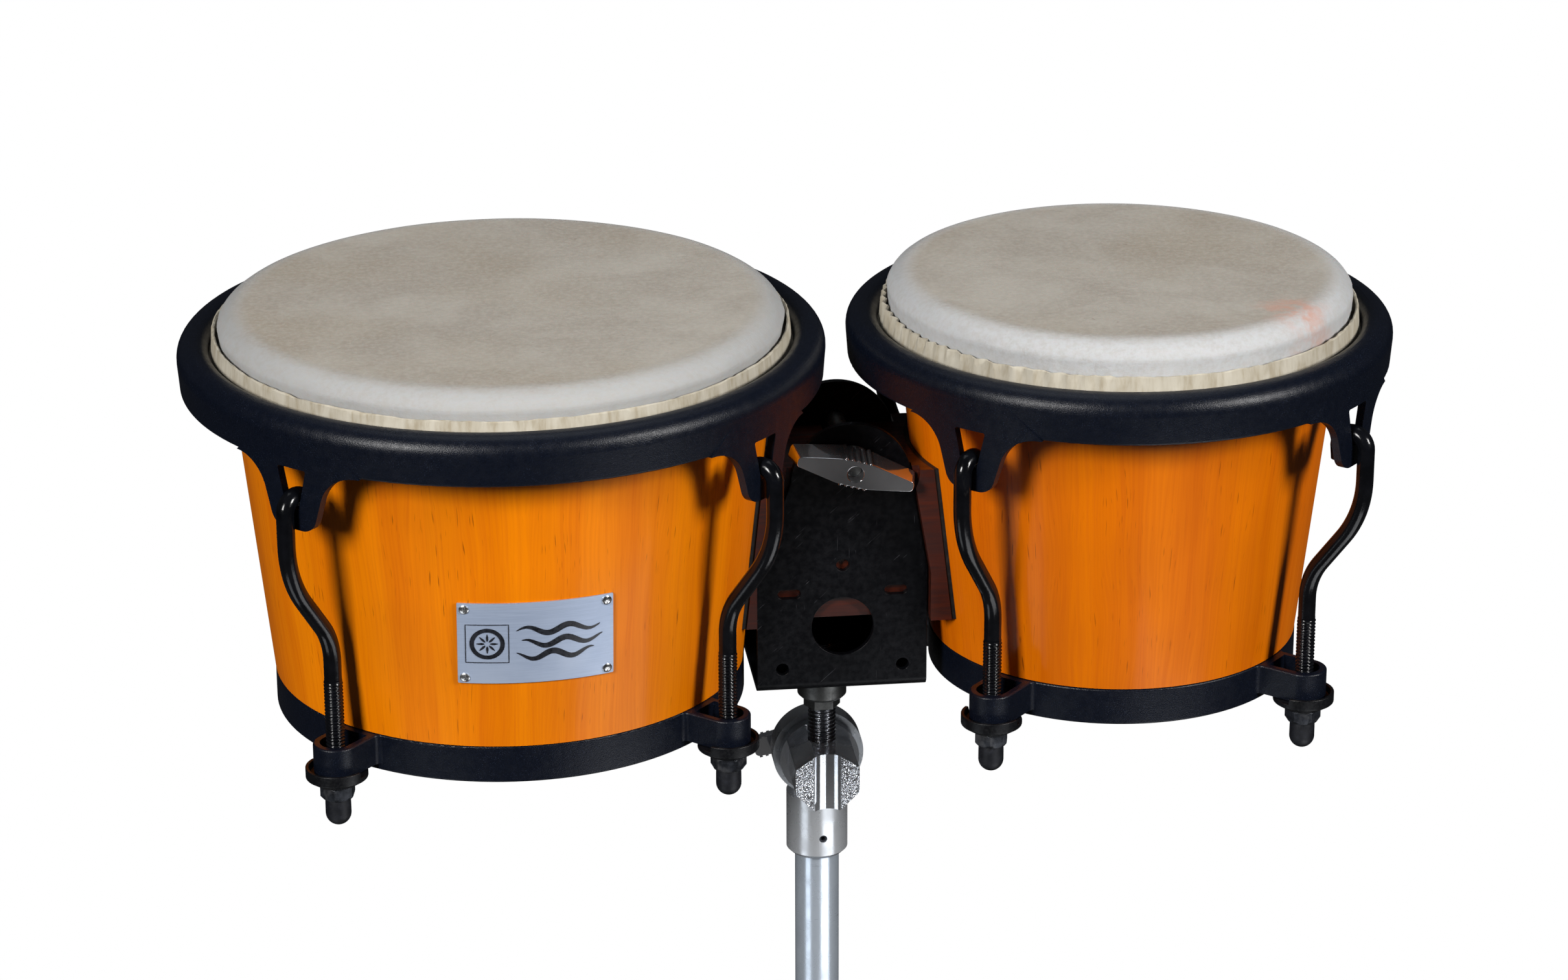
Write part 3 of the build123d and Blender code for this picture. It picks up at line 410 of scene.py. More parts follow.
def chrome(name, tone, rough, metallic=1.0, hammered=False, scratched=False):
    s = Shader(name)
    smear = s.noise(s.point, 70.0, 4.0, 0.6)
    fine = s.noise(s.point, 1500.0, 2.0)
    colour = s.mix(s.ramp(smear, 0.3, 0.75), tone, tuple(c * 0.80 for c in tone))
    normal = s.bump(fine, 0.00003, 0.25)
    if scratched:
        streak = s.noise(s.scaled(140, 140, 2600), 1.0, 1.0)
        spots = s.noise(s.point, 150.0, 2.0)
        mark = s.math("MULTIPLY", s.ramp(streak, 0.70, 0.75), s.ramp(spots, 0.56, 0.62))
        colour = s.mix(s.math("MULTIPLY", mark, 0.7), colour, (0.16, 0.15, 0.15))
        length = s.noise(s.scaled(900, 900, 6), 1.0, 3.0)
        normal = s.bump(length, 0.00003, 0.3, normal)
    if hammered:
        x, y, _ = s.split(s.point)
        beside_groove = s.ramp(s.math("ABSOLUTE", x), 0.0056, 0.0060)
        on_face = s.math("MULTIPLY", beside_groove, s.ramp(y, -0.0368, -0.0362, 1.0, 0.0))
        grain = s.math("MULTIPLY", s.cells(s.point, 1400.0, "SMOOTH_F1"), on_face)
        normal = s.bump(grain, 0.0007, 1.0, normal)
    return s.surface(colour, s.ramp(smear, 0.3, 0.7, rough, rough * 1.9), normal, Metallic=metallic)


def dull_steel(name, tone, rough):
    s = Shader(name)
    cloud = s.noise(s.point, 260.0, 5.0, 0.7)
    grime = s.noise(s.point, 90.0, 4.0, 0.6)
    colour = s.mix(s.ramp(cloud, 0.3, 0.7), tone, tuple(c * 0.62 for c in tone))
    colour = s.mix(s.ramp(grime, 0.55, 0.8, 0.0, 0.6), colour, tuple(c * 0.35 for c in tone))
    return s.surface(
        colour, s.ramp(cloud, 0.2, 0.8, rough * 0.8, rough * 1.4), s.bump(cloud, 0.00015, 0.5), Metallic=1.0
    )


def nut_black():
    """Dark phosphate finish, rubbed paler in places."""
    s = Shader("black_nut_steel")
    cloud = s.noise(s.point, 420.0, 5.0, 0.7)
    rub = s.noise(s.point, 130.0, 3.0, 0.6)
    colour = s.mix(s.ramp(cloud, 0.35, 0.7), (0.012, 0.014, 0.019), (0.030, 0.034, 0.044))
    colour = s.mix(s.ramp(rub, 0.52, 0.70, 0.0, 0.6), colour, (0.085, 0.085, 0.090))
    return s.surface(
        colour, s.ramp(cloud, 0.2, 0.8, 0.34, 0.52), s.bump(cloud, 0.0002, 0.5), Metallic=0.55
    )


def rubber(name, tone):
    s = Shader(name)
    dust_and_glint = s.noise(s.point, 330.0, 4.0, 0.7)
    colour = s.mix(s.ramp(dust_and_glint, 0.45, 0.8), tone, tuple(c * 2.4 for c in tone))
    return s.surface(
        colour, s.ramp(dust_and_glint, 0.2, 0.8, 0.42, 0.62), s.bump(dust_and_glint, 0.0001, 0.4), Specular_IOR_Level=0.32
    )


def brushed_plate():
    s = Shader("brushed_aluminium")
    brush = s.noise(s.scaled(60, 60, 3600), 1.0, 3.0, 0.6)
    cloud = s.noise(s.point, 45.0, 3.0)
    fine = s.noise(s.point, 1300.0, 2.0)
    colour = s.mix(s.ramp(brush, 0.3, 0.7), (0.40, 0.475, 0.62), (0.33, 0.40, 0.54))
    colour = s.mix(s.ramp(cloud, 0.4, 0.75, 0.0, 0.5), colour, (0.47, 0.54, 0.67))
    return s.surface(
        colour, s.ramp(fine, 0.2, 0.8, 0.38, 0.50), s.bump(brush, 0.00002, 0.4), Metallic=0.35
    )


def dark_enamel():
    s = Shader("dark_enamel")
    haze = s.noise(s.point, 600.0, 3.0, 0.6)
    colour = s.mix(s.ramp(haze, 0.3, 0.7), (0.006, 0.007, 0.010), (0.016, 0.018, 0.025))
    return s.surface(colour, s.ramp(haze, 0.2, 0.8, 0.22, 0.38), s.bump(haze, 0.00004, 0.3))


# ---------------------------------------------------------------- mesh helpers

def new_object(name, verts, faces, materials, smooth=True):
    mesh = bpy.data.meshes.new(name)
    mesh.from_pydata([tuple(v) for v in verts], [], faces)
    mesh.validate()
    obj = bpy.data.objects.new(name, mesh)
    bpy.context.scene.collection.objects.link(obj)
    for mat in materials:
        mesh.materials.append(mat)
    for face in mesh.polygons:
        face.use_smooth = smooth
    return obj


def apply_modifiers(obj):
    graph = bpy.context.evaluated_depsgraph_get()
    mesh = bpy.data.meshes.new_from_object(obj.evaluated_get(graph))
    obj.modifiers.clear()
    obj.data = mesh
    return obj


def sharpen(obj, angle=35):
    """Smooth shading that stays crisp over edges sharper than the angle."""
    for face in obj.data.polygons:
        face.use_smooth = True
    obj.data.set_sharp_from_angle(angle=math.radians(angle))
    return obj


def arc(centre, radius, start, end, steps):
    """Profile points on an arc, by angles in degrees."""
    points = []
    for k in range(steps + 1):
        angle = math.radians(start + (end - start) * k / steps)
        points.append((centre[0] + radius * math.cos(angle), centre[1] + radius * math.sin(angle)))
    return points


def finely(points, step):
    """Profile points with extra ones between, no further apart than the step."""
    out = [points[0]]
    for a, b in zip(points, points[1:]):
        count = max(1, math.ceil(math.dist(a, b) / step))
        out += [tuple(a[i] + (b[i] - a[i]) * k / count for i in (0, 1)) for k in range(1, count + 1)]
    return out


def lathe(name, profile, place, materials, segments, shape=None, material_of=None):
    """Turn a closed profile in millimetres round the vertical through place, in metres.
    shape(angle, index, r, z) may move each point, and material_of(index) picks a slot."""
    verts = []
    count = len(profile)
    for k in range(segments):
        angle = math.tau * k / segments
        for i, (r, z) in enumerate(profile):
            if shape:
                r, z = shape(angle, i, r, z)
            verts.append((
                place[0] + r * MM * math.cos(angle), place[1] + r * MM * math.sin(angle), place[2] + z * MM
            ))
    faces = []
    picks = []
    for k in range(segments):
        here = k * count
        there = (k + 1) % segments * count
        for i in range(count):
            j = (i + 1) % count
            faces.append((here + i, there + i, there + j, here + j))
            picks.append(material_of(i) if material_of else 0)
    obj = new_object(name, verts, faces, materials)
    for face, pick in zip(obj.data.polygons, picks):
        face.material_index = pick
    tidy = bmesh.new()
    tidy.from_mesh(obj.data)
    bmesh.ops.remove_doubles(tidy, verts=tidy.verts, dist=1e-6)
    bmesh.ops.recalc_face_normals(tidy, faces=tidy.faces)
    tidy.to_mesh(obj.data)
    tidy.free()
    return sharpen(obj)


def recalculated(obj):
    """Face normals turned outwards."""
    tidy = bmesh.new()
    tidy.from_mesh(obj.data)
    bmesh.ops.recalc_face_normals(tidy, faces=tidy.faces)
    tidy.to_mesh(obj.data)
    tidy.free()
    return obj


def bevelled(node, width, material, name, bend=35):
    """Copy of a CAD node with its faces merged and its edges rounded, in the node's place."""
    mesh = NODES[node].data.copy()
    mesh.materials.clear()
    mesh.materials.append(material)
    tidy = bmesh.new()
    tidy.from_mesh(mesh)
    bmesh.ops.remove_doubles(tidy, verts=tidy.verts, dist=2e-6)
    bmesh.ops.dissolve_limit(tidy, angle_limit=math.radians(0.6), verts=tidy.verts, edges=tidy.edges)
    for face in tidy.faces:
        face.material_index = 0
        face.smooth = True
    tidy.to_mesh(mesh)
    tidy.free()
    obj = bpy.data.objects.new(name, mesh)
    bpy.context.scene.collection.objects.link(obj)
    edge = obj.modifiers.new("edge", "BEVEL")
    edge.width = width * MM
    edge.segments = 2
    edge.limit_method = "ANGLE"
    edge.angle_limit = math.radians(bend)
    weigh = obj.modifiers.new("weigh", "WEIGHTED_NORMAL")
    weigh.keep_sharp = True
    apply_modifiers(obj)
    return finish_piece(obj, node)


def dress(node, material):
    """Give a CAD node a better material."""
    obj = NODES[node]
    obj.data.materials.clear()
    obj.data.materials.append(material)
    for face in obj.data.polygons:
        face.material_index = 0
        face.use_smooth = True
    return obj


def finish_piece(obj, node):
    """Let a new piece stand for a CAD node: the node is hidden and the piece joins the node's body."""
    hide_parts(node)
    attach(obj, NODES[node]["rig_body"])
    return obj


# ---------------------------------------------------------------- drums

class DrumSizes:
    """One drum's sizes in millimetres, with its place in metres at the middle of the head's top.
    Depths are measured down from that place."""

    def __init__(self, name):
        self.name = name
        skin_low, skin_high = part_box(name + "_skin")
        shell_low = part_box(name + "_shell")[0]
        ring_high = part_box(name + "_bottom_ring")[1]
        rim_low, rim_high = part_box(name + "_counterhoop")
        self.place = ((skin_low.x + skin_high.x) / 2, (skin_low.y + skin_high.y) / 2, skin_high.z)
        self.shell_bottom = (skin_high.z - shell_low.z) / MM
        self.ring_top = (skin_high.z - ring_high.z) / MM
        self.rim_r = (rim_high.x - rim_low.x) / 2 / MM
        self.rim_top = (skin_high.z - rim_high.z) / MM
        sizes = DRUM_SIZES[name]
        self.shell_r = sizes["shell_r"]
        self.taper = sizes["taper"]
        self.ring_r = sizes["ring_r"]
        self.flap_top = sizes["flap_top"]
        self.thread_top = sizes["thread_top"]
        self.crest_r = self.shell_r - EDGE_INSET
        self.hoop_r = self.rim_r - HOOP_INSET
        self.hoop_depth = self.rim_top + HOOP_DEPTH
        self.lug_r = self.rim_r - LUG_INSET
        self.foot = (skin_high.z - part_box(name + "_rod_1")[0].z) / MM

    def radius(self, depth):
        return self.shell_r - self.taper * depth

    def lug(self, angle):
        turn = math.radians(angle)
        return (
            self.place[0] + self.lug_r * MM * math.sin(turn),
            self.place[1] - self.lug_r * MM * math.cos(turn),
        )


def shell_piece(d, outside, inside):
    roll = ROLL_R - 1.5
    centre = (d.crest_r, -ROLL_R)
    slope = math.atan(d.taper)
    reach = (EDGE_INSET - d.taper * ROLL_R) / roll * math.cos(slope)
    end = 90 - math.degrees(math.asin(reach) + slope)
    shoulder = d.ring_top - 0.3
    rebate = d.ring_r - RING_REBATE
    outer = finely(arc(centre, roll, 90, end, 8) + [(d.radius(shoulder), -shoulder)], 12)
    foot = [(rebate, -shoulder), (rebate, -d.shell_bottom + 0.6), (rebate - 0.6, -d.shell_bottom)]
    inner = finely([
        (d.radius(d.shell_bottom) - WALL + SHELL_EDGE, -d.shell_bottom),
        (d.radius(d.shell_bottom) - WALL, -d.shell_bottom + SHELL_EDGE),
        (d.radius(5.0) - WALL, -5.0),
        (d.crest_r - 1.5, -1.9),
    ], 14)
    profile = outer + foot + inner
    split_at = len(outer) + 1
    obj = lathe(
        d.name + "_shell_body", profile, d.place, [outside, inside], 224,
        material_of=lambda i: 0 if i < split_at else 1,
    )
    return finish_piece(obj, d.name + "_shell")


def pleat_wave(angle, count):
    """Sharp-crested wave round the hide's tuck."""
    phase = angle * count / math.tau + 0.35 * math.sin(angle * 7)
    return abs(2 * (phase - math.floor(phase + 0.5))) * 2 - 1


def head_piece(d, skin, flap):
    small = d.name == "small"
    roll = (d.crest_r, -ROLL_R)
    hoop = (d.hoop_r, -d.hoop_depth)
    wrap_in = WIRE_R + WRAP_GAP
    wrap_out = wrap_in + SKIN_T
    flap_r = d.rim_r - FLAP_INSET
    top = [(d.crest_r * k / 26, 0.0) for k in range(27)]
    over = arc(roll, ROLL_R, 90, 20, 14)[1:]
    down = finely([over[-1], (hoop[0] - wrap_in, hoop[1])], 1.6)[1:]
    tuck = arc(hoop, wrap_in, 180, 360, 10)[1:] + arc(hoop, wrap_in, 0, 75, 5)[1:]
    rise = finely([tuck[-1], (flap_r - SKIN_T, -d.flap_top)], 1.4)[1:]
    lip = [(flap_r - SKIN_T / 2, -d.flap_top + 0.35), (flap_r, -d.flap_top)]
    fall = finely([lip[-1], arc(hoop, wrap_out, 62, 62, 1)[0]], 1.4)[1:]
    under = arc(hoop, wrap_out, 62, 0, 5)[1:] + arc(hoop, wrap_out, 360, 180, 12)[1:]
    back = finely([under[-1], arc(roll, ROLL_R - SKIN_T, 20, 20, 1)[0]], 2.5)[1:]
    return_arc = arc(roll, ROLL_R - SKIN_T, 20, 90, 10)[1:]
    floor = [(d.crest_r * (1 - k / 12), -SKIN_T) for k in range(1, 13)]
    profile = top + over + down + tuck + rise + lip + fall + under + back + return_arc + floor
    visible = len(top) + len(over) + len(down)
    flap_from = visible + len(tuck) - 3
    flap_to = flap_from + len(rise) + len(lip) + len(fall) + 3

    def shape(angle, i, r, z):
        spot = Vector((math.cos(angle) * 3.0, math.sin(angle) * 3.0, i * 0.12 + d.rim_r))
        if flap_from <= i < flap_to:
            height = max(0.0, (z + d.hoop_depth - 3) / (d.hoop_depth - 3 - d.flap_top))
            ragged = noise.noise(spot * 3.2) * 0.6 + noise.noise(spot * 9.0) * 0.35
            front = max(0.0, math.cos(angle + math.pi / 2))
            left = max(0.0, math.cos(angle + math.pi * 0.86)) ** 2 if small else 0.0
            z += ragged * height - height * front * (0.7 if small else 1.6)
            deep = 0.10 + 0.95 * left
            r += height * (deep * pleat_wave(angle, 84) - deep * 0.9 + noise.noise(spot * 1.4) * 0.25)
        elif i < visible and z < -3.0:
            fade = min(1.0, (-z - 3.0) / 5.0)
            fold = noise.noise(Vector((angle * 9.0, z * 0.05, 3.0)))
            pucker = noise.noise(Vector((angle * 30.0, z * 0.10, 9.0)))
            r += fade * (0.35 * fold + 0.22 * pucker) - 0.2 * fade
        elif i < visible and r > 1:
            dip = Vector((math.cos(angle) * r * 0.03, math.sin(angle) * r * 0.03, 5.0))
            z += noise.noise(dip) * 0.10 - 0.10
        return r, z

    obj = lathe(
        d.name + "_head", profile, d.place, [skin, flap], 420, shape=shape,
        material_of=lambda i: 1 if flap_from <= i < flap_to else 0,
    )
    for face in obj.data.polygons:
        face.use_smooth = True
    finish_piece(obj, d.name + "_skin")
    return obj


def swept(name, path, radius_at, sides, material, matrix):
    """Solid swept along a path of (x, z) points, in millimetres; radius_at(index, part of a turn)."""
    verts = []
    last = len(path) - 1
    for i, point in enumerate(path):
        ahead = path[min(i + 1, last)]
        behind = path[max(i - 1, 0)]
        along = Vector((ahead[0] - behind[0], 0, ahead[1] - behind[1])).normalized()
        across = Vector((along.z, 0, -along.x))
        for k in range(sides):
            turn = math.tau * k / sides
            offset = across * math.cos(turn) + Vector((0, 1, 0)) * math.sin(turn)
            verts.append(matrix @ (Vector((point[0], 0, point[1])) + offset * radius_at(i, k / sides)))
    faces = []
    for i in range(last):
        for k in range(sides):
            n = (k + 1) % sides
            faces.append((i * sides + k, i * sides + n, (i + 1) * sides + n, (i + 1) * sides + k))
    faces.append(tuple(range(sides)))
    faces.append(tuple(reversed(range(last * sides, (last + 1) * sides))))
    return sharpen(recalculated(new_object(name, verts, faces, [material])), 60)


def thread_ridge(turns):
    """Height of a rolled thread, 0 at its root and 1 at its crest."""
    return 0.5 - 0.5 * math.cos(math.tau * (turns % 1.0))


def rod_piece(d, number, angle, material):
    """Hooked rod with a rolled thread cut into its foot."""
    outer = d.rim_r - HOOK_INSET + HOOK_R
    inner = outer - 2 * HOOK_R
    hook = d.rim_top + HOOK_DEPTH
    tip = d.rim_top + HOOK_TIP_DEPTH
    high = d.rim_top + BEND_HIGH
    low = d.rim_top + BEND_LOW
    foot_top = (d.lug_r, -d.thread_top)
    path = [(inner, -tip), (inner, -hook)] + arc((outer - HOOK_R, -hook), HOOK_R, 180, 0, 16)[1:]
    path += rounded_corner((outer, -hook), (outer, -high), (d.lug_r, -low), BEND_HIGH_R, 12)
    path += rounded_corner((outer, -high), (d.lug_r, -low), foot_top, BEND_LOW_R, 10)
    path += [foot_top]
    plain = len(path)
    per_turn = 6
    length = d.foot - d.thread_top
    steps = int(length / THREAD_PITCH * per_turn)
    path += [(d.lug_r, -d.thread_top - length * k / steps) for k in range(1, steps + 1)]
    last = len(path) - 1

    def radius_at(i, around):
        if i < plain:
            return SHANK_R - (TIP_CHAMFER if i == 0 else 0.0)
        run_in = min(1.0, (i - plain) / (2 * per_turn))
        ridge = thread_ridge((i - plain) / per_turn + around)
        grown = SHANK_R + (THREAD_R - SHANK_R) * min(1.0, run_in * 2)
        return grown - THREAD_DEPTH * run_in * (1 - ridge) - THREAD_TAPER * max(0, 4 - last + i)

    turn = Matrix.Rotation(math.radians(angle - 90), 4, "Z")
    matrix = Matrix.Translation(d.place) @ turn @ Matrix.Scale(MM, 4)
    obj = swept(f"{d.name}_tuning_rod_{number}", path, radius_at, 20, material, matrix)
    return finish_piece(obj, f"{d.name}_rod_{number}")


def rounded_corner(before, corner, after, radius, steps):
    """Points of the arc that rounds a corner of a path."""
    a = (Vector(before) - Vector(corner)).normalized()
    b = (Vector(after) - Vector(corner)).normalized()
    half = a.angle(b) / 2
    reach = radius / math.tan(half)
    start = Vector(corner) + a * reach
    end = Vector(corner) + b * reach
    centre = Vector(corner) + (a + b).normalized() * (radius / math.sin(half))
    begin = (start - centre).normalized()
    finish = (end - centre).normalized()
    points = []
    for k in range(steps + 1):
        mid = begin.lerp(finish, k / steps).normalized() * radius + centre
        points.append((mid.x, mid.y))
    return points


def cap_piece(d, number, angle, material):
    x, y = d.lug(angle)
    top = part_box(f"{d.name}_cap_{number}")[1].z
    profile = [(3.98, 0), (4.5, 0), (4.95, -0.35), (5.15, -1.2), (5.2, -3.0)]
    profile += arc((0, -6.95), 5.22, 0, -90, 14)
    profile += [(0, -9.4), (3.98, -9.4)]
    obj = lathe(f"{d.name}_rubber_cap_{number}", profile, (x, y, top), [material], 40)
    return finish_piece(obj, f"{d.name}_cap_{number}")


def nut_piece(d, number, angle, material):
    """Hex nut with both faces turned down to a chamfer."""
    x, y = d.lug(angle)
    low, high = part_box(f"{d.name}_nut_{number}")
    height = (high.z - low.z) / MM
    sides = 48
    rows = [
        (NUT_BORE, 0.0), (NUT_FACE_R, 0.0), (None, NUT_CHAMFER),
        (None, height - NUT_CHAMFER), (NUT_FACE_R, height), (NUT_BORE, height),
    ]
    verts = []
    spin = math.radians(angle - 90)
    for r, z in rows:
        for k in range(sides):
            turn = math.tau * k / sides
            off_flat = (turn + math.pi / 6) % (math.pi / 3) - math.pi / 6
            radius = r or min(NUT_HALF_FLATS / math.cos(off_flat), NUT_CORNER)
            droop = 0.0 if r else (radius - NUT_HALF_FLATS) * NUT_DROOP
            z_here = z + (droop if z < height / 2 else -droop)
            verts.append((
                x + radius * MM * math.cos(turn + spin),
                y + radius * MM * math.sin(turn + spin),
                low.z + z_here * MM,
            ))
    faces = []
    count = len(rows)
    for i in range(count):
        j = (i + 1) % count
        for k in range(sides):
            n = (k + 1) % sides
            faces.append((i * sides + k, i * sides + n, j * sides + n, j * sides + k))
    obj = sharpen(recalculated(new_object(f"{d.name}_hex_nut_{number}", verts, faces, [material])), 25)
    return finish_piece(obj, f"{d.name}_nut_{number}")


# ---------------------------------------------------------------- nameplate and threaded rod

def plate_point(d, u, v, lift):
    """Point on the nameplate: u along it and v up from its middle, lifted off its face, in millimetres."""
    radius = d.radius(PLATE_DEPTH - v) + PLATE_FACE + lift
    turn = math.radians(PLATE_TURN)
    out = math.sqrt(radius * radius - u * u)
    return Vector(d.place) + MM * Vector((
        u * math.cos(turn) + out * math.sin(turn), u * math.sin(turn) - out * math.cos(turn), v - PLATE_DEPTH
    ))


def plate_ribbon(d, line, half_widths, closed):
    """Vertices and faces of a raised stroke along a line of (u, v) points on the nameplate."""
    verts = []
    count = len(line)
    for i, (u, v) in enumerate(line):
        ahead = line[(i + 1) % count] if closed else line[min(i + 1, count - 1)]
        behind = line[i - 1] if closed else line[max(i - 1, 0)]
        along = Vector((ahead[0] - behind[0], ahead[1] - behind[1])).normalized()
        side = Vector((-along.y, along.x)) * half_widths[i]
        for sign in (-1, 1):
            for lift in (-0.1, 0.16):
                verts.append(plate_point(d, u + sign * side.x, v + sign * side.y, lift))
    faces = []
    for i in range(count if closed else count - 1):
        a = i * 4
        b = (i + 1) % count * 4
        for p, q in ((0, 1), (1, 3), (3, 2), (2, 0)):
            faces.append((a + p, b + p, b + q, a + q))
    if not closed:
        faces += [(0, 1, 3, 2), tuple(4 * count - 4 + k for k in (0, 2, 3, 1))]
    return verts, faces


def plate_ornament(d, material):
    """Generic engraved ornament: a rayed ring in a square frame and three tapering waves."""
    strokes = []
    frame_at = (-19.5, 0.0)
    half = 8.4
    corners = [(-half, -half), (half, -half), (half, half), (-half, half), (-half, -half)]
    square = finely([(frame_at[0] + x, frame_at[1] + y) for x, y in corners], 1.4)[:-1]
    strokes.append((square, [0.16] * len(square), True))
    ring = [(frame_at[0] + x, y) for x, y in arc((0, 0), 6.0, 0, 350, 35)]
    strokes.append((ring, [0.85] * len(ring), True))
    for k in range(8):
        angle = math.tau * k / 8
        ray = [(frame_at[0] + r * math.cos(angle), r * math.sin(angle)) for r in (1.1, 2.0, 3.0, 4.2)]
        strokes.append((ray, [0.15, 0.45, 0.40, 0.12], False))
    for row, (start, end) in enumerate(((-8.0, 25.5), (-6.0, 26.5), (-8.0, 23.0))):
        count = 44
        wave = []
        widths = []
        for k in range(count + 1):
            part = k / count
            height = 5.6 - 5.6 * row + 1.5 * math.sin(math.tau * 2 * part + row)
            wave.append((start + (end - start) * part, height))
            widths.append(0.12 + 1.15 * math.sin(math.pi * part) ** 0.8)
        strokes.append((wave, widths, False))
    verts = []
    faces = []
    for line, widths, closed in strokes:
        made, sides = plate_ribbon(d, line, widths, closed)
        faces += [tuple(len(verts) + index for index in face) for face in sides]
        verts += made
    obj = sharpen(recalculated(new_object("nameplate_ornament", verts, faces, [material])), 30)
    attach(obj, NODES["nameplate"]["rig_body"])
    return obj


def plate_screws(d, material):
    """Four small domed screw heads with a cross recess."""
    half_w = PLATE_HALF_W - SCREW_INSET
    half_h = PLATE_HALF_H - SCREW_INSET
    rings = 11
    sides = 40
    verts = []
    faces = []
    for u0, v0 in ((-half_w, -half_h), (half_w, -half_h), (half_w, half_h), (-half_w, half_h)):
        first = len(verts)
        verts.append(plate_point(d, u0, v0, 0.62))
        for ring in range(1, rings + 2):
            r = SCREW_R * min(ring, rings) / rings
            for k in range(sides):
                angle = math.tau * k / sides
                x, y = r * math.cos(angle), r * math.sin(angle)
                lift = 0.20 + 0.75 * math.sqrt(max(0.0, 1 - (r / SCREW_R) ** 2 * 0.86))
                in_cross = min(abs(x), abs(y)) < 0.26 and max(abs(x), abs(y)) < 1.15
                lift -= 0.34 if in_cross else 0.0
                if ring > rings:
                    lift = -0.1
                verts.append(plate_point(d, u0 + x, v0 + y, lift))
        for k in range(sides):
            n = (k + 1) % sides
            faces.append((first, first + 1 + k, first + 1 + n))
            for ring in range(rings):
                a = first + 1 + ring * sides
                faces.append((a + k, a + sides + k, a + sides + n, a + n))
        base = first + 1 + rings * sides
        faces.append(tuple(base + k for k in reversed(range(sides))))
    obj = sharpen(recalculated(new_object("nameplate_cross_screws", verts, faces, [material])), 40)
    return finish_piece(obj, "nameplate_screws")


def threaded_rod(material):
    """The rod that carries the bracket, threaded from end to end."""
    low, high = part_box("swivel_rod")
    centre = ((low.x + high.x) / 2, (low.y + high.y) / 2, low.z)
    radius = (high.x - low.x) / 2 / MM
    length = (high.z - low.z) / MM
    per_turn = 8
    steps = int(length / ROD_PITCH * per_turn)
    path = [(0.0, length * k / steps) for k in range(steps + 1)]

    def radius_at(i, around):
        ridge = thread_ridge(i / per_turn - around)
        end = min(i, steps - i)
        return radius - 0.02 - ROD_THREAD_DEPTH * (1 - ridge) - 0.2 * max(0, 4 - end)

    matrix = Matrix.Translation(centre) @ Matrix.Scale(MM, 4)
    obj = swept("threaded_swivel_rod", path, radius_at, 32, material, matrix)
    return finish_piece(obj, "swivel_rod")


# ---------------------------------------------------------------- stage

def make_camera():
    yaw, pitch, roll = (math.radians(a) for a in (CAMERA_YAW, CAMERA_PITCH, CAMERA_ROLL))
    ahead = Vector((math.sin(yaw) * math.cos(pitch), math.cos(yaw) * math.cos(pitch), -math.sin(pitch)))
    right = Vector((math.cos(yaw), -math.sin(yaw), 0))
    down = ahead.cross(right)
    across = right * math.cos(roll) + down * math.sin(roll)
    below = down * math.cos(roll) - right * math.sin(roll)
    data = bpy.data.cameras.new("camera")
    data.lens = CAMERA_LENS
    data.sensor_width = 36
    data.clip_end = 60
    cam = bpy.data.objects.new("camera", data)
    turn = Matrix((across, -below, -ahead)).transposed().to_4x4()
    cam.matrix_world = Matrix.Translation(CAMERA_PLACE) @ turn
    bpy.context.scene.collection.objects.link(cam)
    bpy.context.scene.camera = cam


def area_light(name, place, target, size, power, colour=(1, 1, 1), glossy_only=False):
    data = bpy.data.lights.new(name, "AREA")
    data.shape = "RECTANGLE"
    data.size, data.size_y = size
    data.energy = power
    data.color = colour
    obj = bpy.data.objects.new(name, data)
    obj.location = place
    obj.rotation_euler = (Vector(target) - Vector(place)).to_track_quat("-Z", "Y").to_euler()
    obj.visible_camera = False
    obj.visible_diffuse = not glossy_only
    bpy.context.scene.collection.objects.link(obj)


def make_stage():
    """Floor that looks white to the camera and dark to everything else, soft lights, and two
    cards that show only in gloss."""
    half = FLOOR_HALF
    verts = [(-half, -half, FLOOR_Z), (half, -half, FLOOR_Z), (half, half, FLOOR_Z), (-half, half, FLOOR_Z)]
    mat = bpy.data.materials.new("pale_floor")
    mat.use_nodes = True
    nodes, links = mat.node_tree.nodes, mat.node_tree.links
    bsdf = nodes["Principled BSDF"]
    bsdf.inputs["Base Color"].default_value = (0.06, 0.06, 0.06, 1)
    bsdf.inputs["Roughness"].default_value = 0.9
    bsdf.inputs["Specular IOR Level"].default_value = 0.1
    path = nodes.new("ShaderNodeLightPath")
    glow = nodes.new("ShaderNodeEmission")
    glow.inputs["Strength"].default_value = 1.0
    blend = nodes.new("ShaderNodeMixShader")
    links.new(path.outputs["Is Camera Ray"], blend.inputs[0])
    links.new(bsdf.outputs[0], blend.inputs[1])
    links.new(glow.outputs[0], blend.inputs[2])
    links.new(blend.outputs[0], nodes["Material Output"].inputs["Surface"])
    floor = new_object("floor", verts, [(0, 1, 2, 3)], [mat], smooth=False)
    world = bpy.data.worlds.new("studio")
    bpy.context.scene.world = world
    world.use_nodes = True
    back = world.node_tree.nodes["Background"]
    back.inputs["Color"].default_value = (0.92, 0.95, 1.0, 1)
    back.inputs["Strength"].default_value = 0.035
    middle = (0, -0.02, 0.30)
    area_light("key_left", (-1.55, -1.75, 1.45), middle, (0.55, 0.75), 62, (1.0, 0.985, 0.97))
    area_light("key_right", (1.75, -1.55, 1.40), middle, (0.55, 0.75), 58, (1.0, 0.985, 0.97))
    area_light("top_fill", (0.0, 0.5, 2.3), middle, (1.6, 1.2), 7, (0.92, 0.96, 1.0))
    low = (0, 0, 0.12)
    area_light("tube_card_left", (-0.42, -0.30, -0.20), low, (0.26, 0.34), 0.5, (0.88, 0.94, 1.0), True)
    area_light("tube_card_right", (0.30, -0.42, -0.20), low, (0.42, 0.34), 1.3, (0.95, 0.97, 1.0), True)
    bpy.context.scene.view_settings.view_transform = "Standard"


